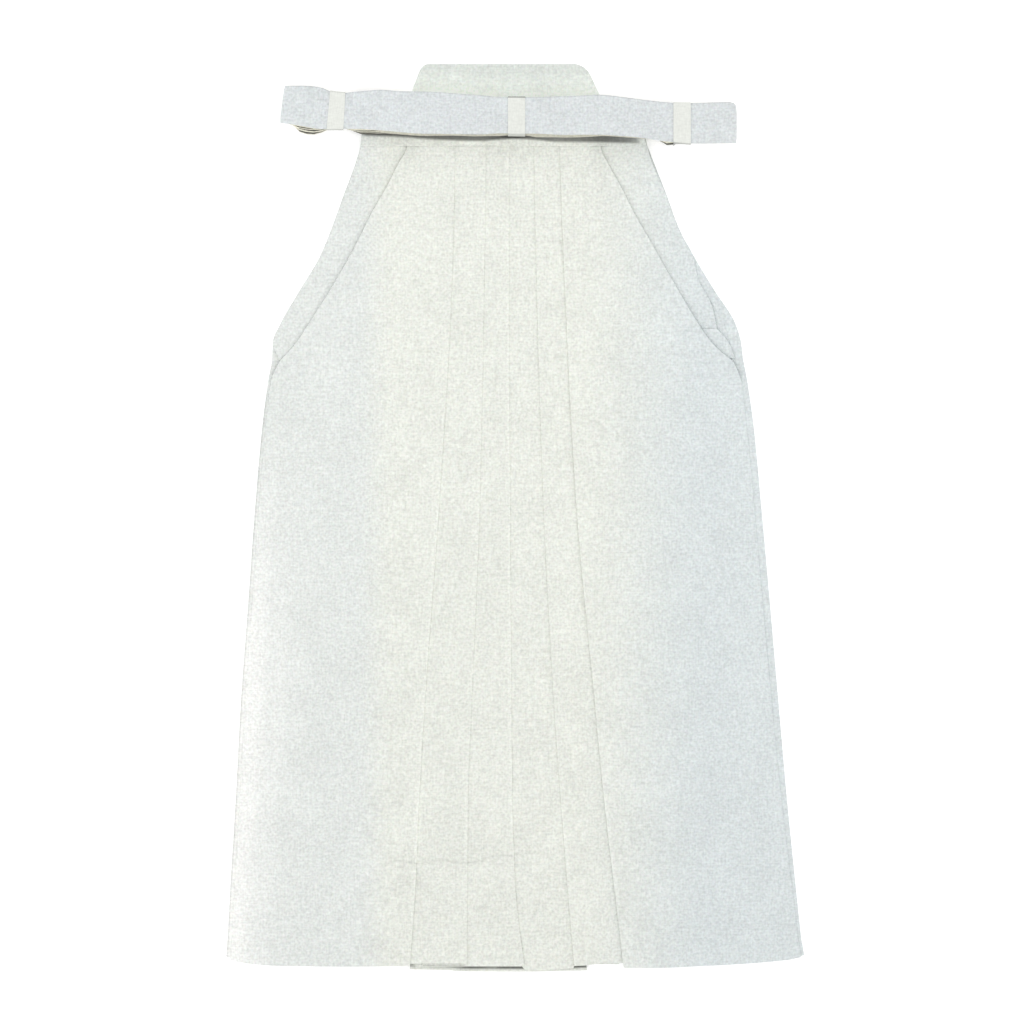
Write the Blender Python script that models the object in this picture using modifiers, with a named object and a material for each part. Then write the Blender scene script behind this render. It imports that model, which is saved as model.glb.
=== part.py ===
"""White pleated hakama trousers, laid flat on a floor with the front side up.

Sizes are in millimetres and become metres when a mesh is made. +X is the viewer's right, +Y runs from
the hem to the waist and +Z rises from the floor. In the tables, "down" is the distance below the top
of the front waist, so the hem is FRONT_LENGTH down and the back board lies at negative values.
"""
import bmesh
import bpy
import numpy as np

MM = 0.001
COLLECTION_NAME = "pleated_hakama_trousers"

# Driving sizes
FRONT_LENGTH = 880.0
CLOTH = 1.0
FOLD_NOSE = CLOTH * 0.7
GAP = 0.3
PITCH = CLOTH + GAP
BOARD_THICKNESS = 4.0
TIE_THICKNESS = 2.0
PAPER_THICKNESS = 0.5
BUNDLE_CORE_HEIGHT = 11.0
BUNDLE_LAYERS = 6


class Table:
    """Rows of numbers with named columns, read between the rows on a smooth curve."""

    def __init__(self, names, *rows):
        self.places = np.array([row[0] for row in rows], float)
        self.columns = {name: np.array(values, float) for name, values in zip(names.split(), zip(*rows))}

    def at(self, name, place):
        """Value of a column at a place along the first column, without overshoot."""
        places = self.places
        values = self.columns[name]
        place = min(max(place, places[0]), places[-1])
        steps = np.diff(places)
        rises = np.diff(values) / steps
        slopes = np.concatenate(([rises[0]], np.zeros(len(rises) - 1), [rises[-1]]))
        for i in range(1, len(rises)):
            if rises[i - 1] * rises[i] > 0:
                slopes[i] = 2 * rises[i - 1] * rises[i] / (rises[i - 1] + rises[i])
        i = min(int(np.searchsorted(places, place, side="right")) - 1, len(rises) - 1)
        t = (place - places[i]) / steps[i]
        start = values[i] * (1 + 2 * t) * (1 - t) ** 2 + slopes[i] * steps[i] * t * (1 - t) ** 2
        end = values[i + 1] * (3 - 2 * t) * t ** 2 - slopes[i + 1] * steps[i] * (1 - t) * t ** 2
        return float(start + end)


# Outer contour of the garment, which is the edge of its back panels
SIDE_EDGES = Table(
    "down left right",
    (-8, -162.5, 136.5),
    (8, -165.2, 141.5),
    (25, -170.2, 148.1),
    (60, -183.2, 161.7),
    (95, -195.9, 174.7),
    (125, -208.4, 190.9),
    (160, -229.4, 212.0),
    (195, -249.7, 234.1),
    (215, -258.1, 240.2),
    (232, -258.8, 242.3),
    (255, -262.3, 246.2),
    (310, -269.3, 253.8),
    (395, -276.7, 261.8),
    (490, -283.6, 270.3),
    (600, -291.7, 279.8),
    (700, -297.0, 288.6),
    (800, -303.1, 298.6),
    (880, -307.3, 307.0),
)

# Slanting edge of the front panels along the side openings, down to where they meet the side seams
OPENING_EDGES = Table(
    "down left right",
    (-35, -112.0, 88.0),
    (8, -116.0, 92.0),
    (25, -125.5, 99.7),
    (50, -138.0, 113.8),
    (77, -153.6, 127.3),
    (110, -170.0, 146.3),
    (140, -186.5, 163.1),
    (167, -202.7, 178.8),
    (197, -222.0, 196.9),
    (215, -233.6, 209.7),
    (227, -243.8, 221.8),
    (236, -252.1, 233.2),
    (255, -259.8, 240.2),
)
SEAM_START = 255.0
BACK_PEEK = {"left": 2.5, "right": 6.0}

# Fold edges of the five pleats, and how deep each fold goes under
PLEATS = Table(
    "down p1 p2 p3 p4 p5 depth",
    (-35, -64.0, -34.0, -6.7, 19.5, 46.5, 24.0),
    (10, -64.1, -34.2, -6.7, 20.0, 47.4, 25.0),
    (150, -67.3, -36.6, -6.7, 22.1, 52.5, 31.0),
    (380, -80.4, -39.9, -5.6, 30.2, 64.4, 40.0),
    (600, -96.3, -46.4, -4.0, 40.0, 83.6, 46.0),
    (700, -102.1, -50.0, -3.0, 47.8, 93.0, 48.0),
    (790, -107.2, -50.9, -0.1, 55.2, 105.7, 48.0),
    (880, -112.1, -51.3, 9.5, 62.7, 115.6, 48.0),
)
CENTRE_STRIP_UNDERLAP = 30.0
STRIP_STEP = 1.0

# Hem of the two outer front panels, across the garment
OUTER_HEM = Table(
    "x down",
    (-308, 870.0),
    (-300, 873.6),
    (-282, 876.8),
    (-253, 878.9),
    (-182, 879.6),
    (-113, 878.9),
    (116, 881.0),
    (150, 881.0),
    (194, 879.2),
    (239, 877.0),
    (290, 872.5),
    (308, 868.6),
)
BACK_HEM_RISE = 1.5
GUSSET_HEM = 882.6

# Hem of the folded layers, by their level in the stack
LEFT_FOLD_HEM = Table("level down", (4, 876.5), (5, 876.8), (7, 876.8), (8, 878.0), (9, 878.9))
RIGHT_FOLD_HEM = Table("level down", (3, 877.0), (4, 877.0), (5, 876.2), (6, 878.6), (7, 881.0))
CENTRE_STRIP_HEM = 883.2

# Distances down at which the long panels have a section
SECTIONS = (-30, -8, 8, 25, 50, 77, 110, 140, 167, 197, 215, 227, 236, 255, 310, 395, 490, 600, 700, 790,
            850, 880)
BACK_TOP = -2.7
THIRDS = (0.0, 0.33, 0.66, 1.0)

# The front hangs from the waistband, which lies on the board, and comes down to the back below it
BOARD_LIFT = BOARD_THICKNESS + GAP
LIFT_TOP = 5.0
LIFT_BOTTOM = 85.0

# Draping of the outer panels from the top of the pleat stack to the side seams
DRAPE_RUN = 72.0
DRAPE_START = 3.0
DRAPE_SHARE = 0.96
DRAPE_STEPS = (0.0, 0.18, 0.34, 0.5, 0.66, 0.82, 1.0)
EDGE_LEVEL_OVER_LEAF = 2.0
EDGE_LEVEL_AT_SEAM = 1.0
EDGE_LEVEL_CHANGE = (236.0, 300.0)

LEFT_LEG = {"side": "left", "inward": 1, "folds": ("p1", "p2", "p3"), "top": 9, "hem": LEFT_FOLD_HEM}
RIGHT_LEG = {"side": "right", "inward": -1, "folds": ("p5", "p4"), "top": 7, "hem": RIGHT_FOLD_HEM, "strip": 3}

# Centre back lap: the left back runs just past the centre and the right back passes over it
BACK_LAP = {"left_end": 11.5, "ramp_high": 12.5, "ramp_low": 19.0, "right_end": -30.0}

# Gusset between the legs, from the crotch to the hem
GUSSET_LEVEL = 2
GUSSET = Table(
    "down left right",
    (430, -24.0, 16.0),
    (600, -60.0, 34.0),
    (760, -94.0, 60.0),
    (880, -113.0, 77.0),
)
GUSSET_SECTIONS = (430, 515, 600, 680, 760, 820, 880)

# Leaf folds in the side openings
LEAF_LEVEL = 1
LEAF_INSET = 0.7
LEAF_UNDERLAP = 18.0
LEFT_LEAF_SECTIONS = (-30, -8, 8, 25, 50, 77, 110, 140, 167, 190, 205, 218, 228)
RIGHT_LEAF_EDGE = Table(
    "down x",
    (-35, 135.0),
    (8, 140.8),
    (60, 161.0),
    (95, 174.0),
    (124, 189.5),
    (147, 194.4),
    (176, 209.3),
    (200, 214.7),
)
RIGHT_LEAF_SECTIONS = (-30, -8, 8, 25, 50, 77, 110, 124, 140, 155, 176, 190, 200)
RIGHT_TIP_EDGE = Table("down x", (200.4, 214.5), (216, 227.4), (232, 234.0))
RIGHT_TIP_SECTIONS = (200.4, 208, 216, 224, 232)

# Front waistband, folded over the top of the front
BAND_LEFT = -165.0
BAND_RIGHT = 141.0
BAND_LOWER_EDGE = 8.0
BAND_UPPER_EDGE = -35.0
BAND_STATIONS = 44
BAND_REACH = (-5.0, -3.75, -2.5, -1.25, 0.0, 1.25, 2.5, 3.75, 5.0)
BAND_ROUND = 2.0

# Stiff back board with the two upper corners rounded, as (x, down)
BOARD_CORNERS = ((-129.0, -3.0), (111.0, -3.0), (74.5, -79.8), (-99.0, -79.8))
BOARD_CORNER_ROUND = 12.0
BOARD_EDGE_ROUND = 0.9

# Bundle of folded ties: its long edges, the height of its underside, how far the lower layers stick out
BUNDLE = Table(
    "x upper lower under loose",
    (-247.5, -56.6, -20.0, 0.0, 0.0),
    (-238, -56.8, -17.5, 0.0, 0.6),
    (-222, -56.6, -14.6, 1.0, 5.4),
    (-209, -55.2, -12.0, 2.6, 4.4),
    (-199, -51.9, -11.4, 4.0, 0.2),
    (-181, -50.2, -11.4, 6.6, 0.2),
    (-165, -51.6, -11.4, 8.8, 2.2),
    (-142, -53.3, -10.1, 12.0, 3.0),
    (-120, -51.5, -8.4, 15.9, 3.0),
    (-95, -51.1, -7.3, 18.8, 2.6),
    (-60, -49.0, -7.3, 18.8, 2.8),
    (-15, -45.4, -6.6, 18.1, 2.8),
    (18, -45.2, -6.2, 17.5, 2.6),
    (60, -46.6, -5.0, 16.7, 2.4),
    (90, -47.9, -5.0, 15.8, 1.6),
    (113, -45.7, -3.9, 13.0, 1.8),
    (134, -43.0, -2.1, 10.3, 1.4),
    (163, -39.5, 1.7, 6.9, 0.6),
    (188, -39.2, 4.2, 4.2, 0.2),
    (210, -39.7, 4.4, 1.8, 0.0),
    (228, -39.9, 4.5, 0.0, 0.0),
    (235.2, -38.0, 4.5, 0.0, 0.0),
)
BUNDLE_STATIONS = (-245.0, -238, -228, -218, -209, -199, -190, -181.5, -165, -142, -120, -95, -60, -30, -7.6,
                   12.3, 36, 60, 90, 113, 134, 150, 168, 177, 187, 200, 212, 226, 232.4)
BUNDLE_LEAN = Table("x lean", (-248, 0.13), (-205, 0.10), (-150, 0.0), (236, 0.0))
CORE_INSET = 0.8
LAYER_BULGE = 0.55
LAYER_PROFILE = ((0.0, -LAYER_BULGE), (0.25, LAYER_BULGE), (0.75, LAYER_BULGE))
LOOSE_LAYERS = 4
TOP_TIE_CROWN = 0.5
TOP_TIE_ACROSS = (0.0, 0.08, 0.3, 0.5, 0.7, 0.92, 1.0)
TOP_TIE_END_DROP = 9.0
TOP_TIE_END_REACH = 1.9
TOP_TIE_SHOULDER = 2.0

# Paper bands round the bundle: name, left and right end
PAPER_BANDS = (
    ("paper_band_left", -199.0, -181.5),
    ("paper_band_centre", -7.6, 12.3),
    ("paper_band_right", 168.0, 187.0),
)
PAPER_CLEARANCE = 0.35
PAPER_CORNER = 0.7

# Colour and roughness of each material
COTTON = ((0.82, 0.84, 0.80), 0.9)
TIE_COTTON = ((0.77, 0.81, 0.81), 0.9)
BOARD_COTTON = ((0.79, 0.82, 0.79), 0.9)
PAPER = ((0.84, 0.84, 0.75), 0.7)


def clear_scene():
    """Remove the start-up objects."""
    for item in list(bpy.data.objects):
        bpy.data.objects.remove(item, do_unlink=True)


def make_material(name, finish):
    """A plain dielectric material with its own colour and roughness."""
    colour, roughness = finish
    material = bpy.data.materials.new(name)
    material.use_nodes = True
    shader = material.node_tree.nodes["Principled BSDF"]
    shader.inputs["Base Color"].default_value = (*colour, 1.0)
    shader.inputs["Roughness"].default_value = roughness
    shader.inputs["Metallic"].default_value = 0.0
    return material


def ease(t):
    """Smooth step from 0 to 1."""
    t = min(max(t, 0.0), 1.0)
    return t * t * (3.0 - 2.0 * t)


def mix(a, b, t):
    """Straight mix of two values."""
    return a + (b - a) * t


def add_object(name, mesh, finish, collection):
    """Put a mesh into the collection as an object with its own material."""
    mesh.materials.append(make_material(name + "_material", finish))
    item = bpy.data.objects.new(name, mesh)
    collection.objects.link(item)
    return item


def cloth_wall(name, rows, thickness, finish, collection, closed=False):
    """A wall of even thickness on a grid of mid-surface points, given as rows of (x, down, z)."""
    work = bmesh.new()
    grid = [[work.verts.new((x * MM, -down * MM, z * MM)) for x, down, z in row] for row in rows]
    for near, far in zip(grid, grid[1:]):
        pairs = list(zip(near, far))
        if closed:
            pairs.append(pairs[0])
        for (a, b), (c, d) in zip(pairs, pairs[1:]):
            work.faces.new((a, b, d, c))
    mesh = bpy.data.meshes.new(name)
    work.to_mesh(mesh)
    work.free()
    item = add_object(name, mesh, finish, collection)
    wall = item.modifiers.new("wall", "SOLIDIFY")
    wall.thickness = thickness * MM
    wall.offset = 0.0
    wall.use_even_offset = True
    wall.use_quality_normals = True
    return item


def lift(down):
    """How far the front layers are raised where they lie on the back board."""
    return BOARD_LIFT * (1.0 - ease((down - LIFT_TOP) / (LIFT_BOTTOM - LIFT_TOP)))


def layer_height(level, down):
    """Height of the middle of a cloth layer above the floor."""
    return CLOTH / 2 + PITCH * level + lift(down)


def outward(side):
    """Direction along X from the centre to a side."""
    return -1 if side == "left" else 1


def front_edge(side, down):
    """Outer edge of a front panel: the slant of the opening, then just inside the side seam."""
    if down < SEAM_START:
        return OPENING_EDGES.at(side, down)
    return SIDE_EDGES.at(side, down) - outward(side) * BACK_PEEK[side]


def turn(tip, direction, level, next_level, down):
    """Three points round a fold whose outermost point is at tip, as (x, z, level)."""
    radius = PITCH * abs(next_level - level) / 2
    nose = tip - direction * FOLD_NOSE
    base = nose - direction * radius
    middle = (level + next_level) / 2
    return [
        (base, layer_height(level, down), level),
        (nose, layer_height(middle, down), middle),
        (base, layer_height(next_level, down), next_level),
    ]


def front_section(leg, down):
    """Mid-line of a pleated front from its side edge to its hidden end, as (x, z, level)."""
    side = leg["side"]
    inward = leg["inward"]
    level = leg["top"]
    depth = PLEATS.at("depth", down)
    edge = front_edge(side, down)
    crest = PLEATS.at(leg["folds"][0], down) - inward * (depth + DRAPE_START)
    foot = crest - inward * min(DRAPE_RUN, abs(crest - edge) * DRAPE_SHARE)
    change = ease((down - EDGE_LEVEL_CHANGE[0]) / (EDGE_LEVEL_CHANGE[1] - EDGE_LEVEL_CHANGE[0]))
    low = layer_height(mix(EDGE_LEVEL_OVER_LEAF, EDGE_LEVEL_AT_SEAM, change), down)
    high = layer_height(level, down)
    points = [(edge, low, level), (mix(edge, foot, 0.5), low, level)]
    points += [(mix(foot, crest, step), mix(low, high, ease(step)), level) for step in DRAPE_STEPS]
    for fold in leg["folds"]:
        tip = PLEATS.at(fold, down)
        points += turn(tip, inward, level, level - 1, down)
        points += turn(tip - inward * depth, -inward, level - 1, level - 2, down)
        level -= 2
    if "strip" not in leg:
        return points[:-2]
    start = PLEATS.at("p4", down)
    end = PLEATS.at("p3", down) - CENTRE_STRIP_UNDERLAP
    height = layer_height(level, down)
    points += [(x, height, level) for x in (start + STRIP_STEP, start - STRIP_STEP, end)]
    return points


def front_hem(leg, x, level):
    """Distance down of the hem at one point of a front section."""
    if level == leg["top"]:
        return OUTER_HEM.at("down", x)
    if level == leg.get("strip") and x < PLEATS.at("p4", FRONT_LENGTH):
        return CENTRE_STRIP_HEM
    return leg["hem"].at("down", level)


def build_front(name, leg, collection):
    """One front leg panel with all its pleats, as one folded wall."""
    rows = [[(x, down, z) for x, z, _ in front_section(leg, down)] for down in SECTIONS[:-1]]
    last = front_section(leg, SECTIONS[-1])
    rows.append([(x, front_hem(leg, x, level), z) for x, z, level in last])
    return cloth_wall(name, rows, CLOTH, COTTON, collection)


def back_hem(x):
    """Hem of the back panels, a little shorter than the front."""
    inner = min(OUTER_HEM.at("down", x), LEFT_FOLD_HEM.at("down", 7))
    return inner - BACK_HEM_RISE


def build_back(side, collection):
    """One flat back panel; the right one steps up and laps over the left one at the centre."""
    floor = layer_height(0, FRONT_LENGTH)
    raised = layer_height(1, FRONT_LENGTH)
    rows = []
    for down in (BACK_TOP, *(d for d in SECTIONS if d > BACK_TOP)):
        edge = SIDE_EDGES.at(side, down)
        if side == "left":
            end = BACK_LAP["left_end"]
            row = [(mix(edge, end, step), floor) for step in THIRDS]
        else:
            low = BACK_LAP["ramp_low"]
            row = [(mix(edge, low, step), floor) for step in THIRDS]
            row += [(BACK_LAP["ramp_high"], raised), (BACK_LAP["right_end"], raised)]
        last = down == SECTIONS[-1]
        rows.append([(x, back_hem(x) if last else down, z) for x, z in row])
    return cloth_wall("back_" + side, rows, CLOTH, COTTON, collection)


def build_gusset(collection):
    """The gusset between the legs, widening from the crotch to the hem."""
    rows = []
    for down in GUSSET_SECTIONS:
        left = GUSSET.at("left", down)
        right = GUSSET.at("right", down)
        z = layer_height(GUSSET_LEVEL, down)
        hem = GUSSET_HEM if down == GUSSET_SECTIONS[-1] else down
        rows.append([(mix(left, right, step), hem, z) for step in THIRDS])
    return cloth_wall("gusset", rows, CLOTH, COTTON, collection)


def leaf_wall(name, side, sections, outer_edge, collection):
    """A strip between an outer edge and a line hidden under the slanting front edge."""
    rows = []
    for down in sections:
        outer = outer_edge(down)
        inner = OPENING_EDGES.at(side, down) - outward(side) * LEAF_UNDERLAP
        z = layer_height(LEAF_LEVEL, down)
        rows.append([(mix(outer, inner, step), down, z) for step in THIRDS])
    return cloth_wall(name, rows, CLOTH, COTTON, collection)


def build_leaves(collection):
    """Leaf folds at both side openings, and the small strip below the right one."""
    leaf_wall("leaf_fold_left", "left", LEFT_LEAF_SECTIONS,
              lambda down: SIDE_EDGES.at("left", down) + LEAF_INSET, collection)
    leaf_wall("leaf_fold_right", "right", RIGHT_LEAF_SECTIONS,
              lambda down: RIGHT_LEAF_EDGE.at("x", down), collection)
    leaf_wall("leaf_tip_right", "right", RIGHT_TIP_SECTIONS,
              lambda down: RIGHT_TIP_EDGE.at("x", down), collection)


def stack_height(x, sections):
    """Highest mid-line of the front layers at x, or the leaf folds' height beside them."""
    height = layer_height(LEAF_LEVEL, 0.0)
    for section in sections:
        for (xa, za, _), (xb, zb, _) in zip(section, section[1:]):
            low, high = sorted((xa, xb))
            if low - PITCH <= x <= high + PITCH and high > low:
                t = min(max((x - xa) / (xb - xa), 0.0), 1.0)
                height = max(height, mix(za, zb, t))
    return height


def waistband_height(x, sections):
    """Mid-height of the waistband's upper layer, clear of everything within its reach."""
    return max(stack_height(x + dx, sections) for dx in BAND_REACH) + PITCH + GAP / 2


def build_waistband(collection):
    """The front waistband: a strip folded over the top edge of the front."""
    sections = (front_section(LEFT_LEG, 0.0), front_section(RIGHT_LEG, 0.0))
    bottom = BOARD_LIFT + CLOTH / 2
    rows = []
    for x in np.linspace(BAND_LEFT, BAND_RIGHT, BAND_STATIONS):
        top = waistband_height(float(x), sections)
        inner = BAND_UPPER_EDGE + BAND_ROUND
        rows.append([
            (x, BAND_LOWER_EDGE, top),
            (x, mix(BAND_LOWER_EDGE, inner, 0.5), top),
            (x, inner, top),
            (x, BAND_UPPER_EDGE, top - BAND_ROUND / 2),
            (x, BAND_UPPER_EDGE, bottom + BAND_ROUND / 2),
            (x, inner, bottom),
            (x, BAND_LOWER_EDGE, bottom),
        ])
    return cloth_wall("front_waistband", rows, CLOTH, COTTON, collection)


def build_board(collection):
    """The stiff back board, a rounded trapezoid wrapped in cloth."""
    work = bmesh.new()
    corners = [work.verts.new((x * MM, -down * MM, BOARD_THICKNESS / 2 * MM)) for x, down in BOARD_CORNERS]
    work.faces.new(corners)
    bmesh.ops.bevel(work, geom=corners[2:], offset=BOARD_CORNER_ROUND * MM, segments=6, profile=0.5,
                    affect="VERTICES")
    mesh = bpy.data.meshes.new("back_board")
    work.to_mesh(mesh)
    work.free()
    item = add_object("back_board", mesh, BOARD_COTTON, collection)
    wall = item.modifiers.new("wall", "SOLIDIFY")
    wall.thickness = BOARD_THICKNESS * MM
    wall.offset = 0.0
    soft = item.modifiers.new("soft_edge", "BEVEL")
    soft.width = BOARD_EDGE_ROUND * MM
    soft.segments = 2
    soft.limit_method = "ANGLE"
    return item


def lean(x, down):
    """Shift of a bundle section that leans with the slant of the bundle's left end."""
    middle = (BUNDLE.at("upper", x) + BUNDLE.at("lower", x)) / 2
    return -BUNDLE_LEAN.at("lean", x) * (down - middle)


def bundle_side(x, edge, outward_sign):
    """Layered side of the bundle's core, from bottom to top, as (down, z)."""
    under = BUNDLE.at("under", x)
    loose = BUNDLE.at("loose", x) if edge == "lower" else 0.0
    base = BUNDLE.at(edge, x) - outward_sign * CORE_INSET
    step = BUNDLE_CORE_HEIGHT / BUNDLE_LAYERS
    points = []
    for layer in range(BUNDLE_LAYERS):
        stick = loose if layer < LOOSE_LAYERS else 0.0
        for part, bulge in LAYER_PROFILE:
            points.append((base + outward_sign * (stick + bulge), under + step * (layer + part)))
    points.append((base - outward_sign * LAYER_BULGE, under + BUNDLE_CORE_HEIGHT))
    return points


def build_bundle_core(collection):
    """The hidden layers of the folded ties as one rounded solid, layered at its edges."""
    work = bmesh.new()
    rings = []
    for x in BUNDLE_STATIONS:
        near = bundle_side(x, "lower", 1)
        far = bundle_side(x, "upper", -1)
        ring = near + far[::-1]
        rings.append([work.verts.new(((x + lean(x, down)) * MM, -down * MM, z * MM)) for down, z in ring])
    count = len(rings[0])
    for first, second in zip(rings, rings[1:]):
        for i in range(count):
            j = (i + 1) % count
            work.faces.new((first[i], second[i], second[j], first[j]))
    for ring in (rings[0], rings[-1]):
        for i in range(count // 2 - 1):
            work.faces.new((ring[i], ring[i + 1], ring[count - 2 - i], ring[count - 1 - i]))
    bmesh.ops.recalc_face_normals(work, faces=work.faces)
    mesh = bpy.data.meshes.new("tie_bundle_core")
    work.to_mesh(mesh)
    work.free()
    return add_object("tie_bundle_core", mesh, TIE_COTTON, collection)


def top_tie_height(x):
    """Mid-height of the uppermost stretch of tie."""
    return BUNDLE.at("under", x) + BUNDLE_CORE_HEIGHT + GAP + TIE_THICKNESS / 2


def build_top_tie(collection):
    """The uppermost stretch of tie, which turns down over both ends of the bundle."""
    first = BUNDLE_STATIONS[0]
    last = BUNDLE_STATIONS[-1]
    stations = [(first, -TOP_TIE_END_REACH, TOP_TIE_END_DROP), (first, -TOP_TIE_END_REACH, TOP_TIE_SHOULDER)]
    stations += [(x, 0.0, 0.0) for x in BUNDLE_STATIONS]
    stations += [(last, TOP_TIE_END_REACH, TOP_TIE_SHOULDER), (last, TOP_TIE_END_REACH, TOP_TIE_END_DROP)]
    rows = []
    for x, reach, drop in stations:
        upper = BUNDLE.at("upper", x)
        lower = BUNDLE.at("lower", x)
        row = []
        for across in TOP_TIE_ACROSS:
            down = mix(lower, upper, across)
            crown = TOP_TIE_CROWN * (1 - (2 * across - 1) ** 4)
            row.append((x + reach + lean(x, down), down, top_tie_height(x) + crown - drop))
        rows.append(row)
    return cloth_wall("tie_bundle_top", rows, TIE_THICKNESS, TIE_COTTON, collection)


def build_paper_band(name, left, right, collection):
    """A paper band that goes right round the bundle."""
    away = PAPER_CLEARANCE + PAPER_THICKNESS / 2
    rows = []
    for x in (x for x in BUNDLE_STATIONS if left <= x <= right):
        lower = BUNDLE.at("lower", x) + max(BUNDLE.at("loose", x) + LAYER_BULGE - CORE_INSET, 0.0) + away
        upper = BUNDLE.at("upper", x) - away
        bottom = BUNDLE.at("under", x) - away
        top = top_tie_height(x) + TIE_THICKNESS / 2 + TOP_TIE_CROWN + away
        round_off = PAPER_CORNER
        ring = ((lower, bottom + round_off), (lower, top - round_off), (lower - round_off, top),
                (mix(lower, upper, 0.5), top), (upper + round_off, top), (upper, top - round_off),
                (upper, bottom + round_off), (upper + round_off / 2, bottom), (lower - round_off / 2, bottom))
        rows.append([(x + lean(x, down), down, z) for down, z in ring])
    return cloth_wall(name, rows, PAPER_THICKNESS, PAPER, collection, closed=True)


def centre_on_origin(collection):
    """Move all meshes so that the origin is in the middle of the floor under the garment."""
    bpy.context.view_layer.update()
    graph = bpy.context.evaluated_depsgraph_get()
    boxes = [item.evaluated_get(graph).bound_box for item in collection.objects]
    corners = np.array([corner[:] for box in boxes for corner in box])
    middle = (corners.min(axis=0) + corners.max(axis=0)) / 2
    for item in collection.objects:
        for vertex in item.data.vertices:
            vertex.co.x -= middle[0]
            vertex.co.y -= middle[1]


def main():
    """Build every piece of the garment."""
    clear_scene()
    collection = bpy.data.collections.new(COLLECTION_NAME)
    bpy.context.scene.collection.children.link(collection)
    build_back("left", collection)
    build_back("right", collection)
    build_gusset(collection)
    build_leaves(collection)
    build_front("front_left", LEFT_LEG, collection)
    build_front("front_right", RIGHT_LEG, collection)
    build_waistband(collection)
    build_board(collection)
    build_bundle_core(collection)
    build_top_tie(collection)
    for name, left, right in PAPER_BANDS:
        build_paper_band(name, left, right, collection)
    centre_on_origin(collection)


main()
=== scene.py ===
"""Looks of white pleated hakama trousers that lie flat on a white floor, front side up.

Tables and named sizes are in millimetres: x runs to the viewer's right, "down" is the distance below
the top of the front waist, and z is the height above the floor. Meshes are made in metres.
"""
import math
from functools import partial

import bmesh
import bpy
import numpy as np
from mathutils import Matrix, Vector


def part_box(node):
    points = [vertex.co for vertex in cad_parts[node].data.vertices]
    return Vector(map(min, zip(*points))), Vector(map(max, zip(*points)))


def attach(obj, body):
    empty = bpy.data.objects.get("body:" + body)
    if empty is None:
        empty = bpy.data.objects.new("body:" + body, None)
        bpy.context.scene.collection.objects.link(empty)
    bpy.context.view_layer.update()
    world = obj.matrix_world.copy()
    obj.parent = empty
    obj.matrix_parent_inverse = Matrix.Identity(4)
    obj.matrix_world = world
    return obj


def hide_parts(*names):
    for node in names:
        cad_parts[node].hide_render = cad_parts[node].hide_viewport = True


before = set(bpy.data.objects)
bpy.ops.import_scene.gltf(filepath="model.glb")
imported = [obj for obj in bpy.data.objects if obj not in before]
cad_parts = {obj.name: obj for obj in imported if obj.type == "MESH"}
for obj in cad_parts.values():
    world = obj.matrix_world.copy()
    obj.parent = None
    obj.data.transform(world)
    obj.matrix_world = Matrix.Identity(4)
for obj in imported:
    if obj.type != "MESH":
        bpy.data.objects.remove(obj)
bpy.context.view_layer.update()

MM = 0.001
BODY = "root"


class Table:
    """Rows of numbers with named columns, read between the rows on a smooth curve."""

    def __init__(self, names, *rows):
        self.places = np.array([row[0] for row in rows], float)
        self.columns = {name: np.array(values, float) for name, values in zip(names.split(), zip(*rows))}

    def at(self, name, place):
        """Values of a column at a place, or an array of places, along the first column."""
        places = self.places
        values = self.columns[name]
        place = np.clip(place, places[0], places[-1])
        steps = np.diff(places)
        rises = np.diff(values) / steps
        slopes = np.concatenate(([rises[0]], np.zeros(len(rises) - 1), [rises[-1]]))
        both = rises[:-1] * rises[1:] > 0
        total = np.where(both, rises[:-1] + rises[1:], 1.0)
        slopes[1:-1] = np.where(both, 2 * rises[:-1] * rises[1:] / total, 0.0)
        i = np.clip(np.searchsorted(places, place, side="right") - 1, 0, len(rises) - 1)
        t = (place - places[i]) / steps[i]
        start = values[i] * (1 + 2 * t) * (1 - t) ** 2 + slopes[i] * steps[i] * t * (1 - t) ** 2
        end = values[i + 1] * (3 - 2 * t) * t ** 2 - slopes[i + 1] * steps[i] * (1 - t) * t ** 2
        return start + end


# Sizes of the cut, as in the solids
FRONT_LENGTH = 880.0
SOLID_CLOTH = 1.0
PITCH = 1.3
BOARD_THICKNESS = 4.0
BOARD_LIFT = 4.3
LIFT_TOP = 5.0
LIFT_BOTTOM = 85.0
BUNDLE_CORE_HEIGHT = 11.0
CORE_INSET = 0.8

# Outer contour of the garment
SIDE_EDGES = Table(
    "down left right",
    (-8, -162.5, 136.5),
    (8, -165.2, 141.5),
    (25, -170.2, 148.1),
    (60, -183.2, 161.7),
    (95, -195.9, 174.7),
    (125, -208.4, 190.9),
    (160, -229.4, 212.0),
    (195, -249.7, 234.1),
    (215, -258.1, 240.2),
    (232, -258.8, 242.3),
    (255, -262.8, 246.7),
    (310, -269.8, 254.3),
    (395, -277.2, 262.3),
    (490, -284.1, 270.8),
    (600, -292.2, 280.3),
    (700, -297.5, 289.1),
    (800, -303.6, 299.1),
    (880, -307.8, 307.5),
)

# Slanting edge of the front panels along the side openings
OPENING_EDGES = Table(
    "down left right",
    (-35, -112.0, 88.0),
    (8, -116.0, 92.0),
    (25, -125.5, 99.7),
    (50, -138.0, 113.8),
    (77, -153.6, 127.3),
    (110, -170.0, 146.3),
    (140, -186.5, 163.1),
    (167, -202.7, 178.8),
    (197, -222.0, 196.9),
    (215, -233.6, 209.7),
    (227, -243.8, 221.8),
    (236, -252.1, 233.2),
    (255, -259.8, 240.2),
)
SEAM_START = 255.0
OPENING_INSET = 1.1
OPENING_INSET_FADE = 22.0

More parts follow.
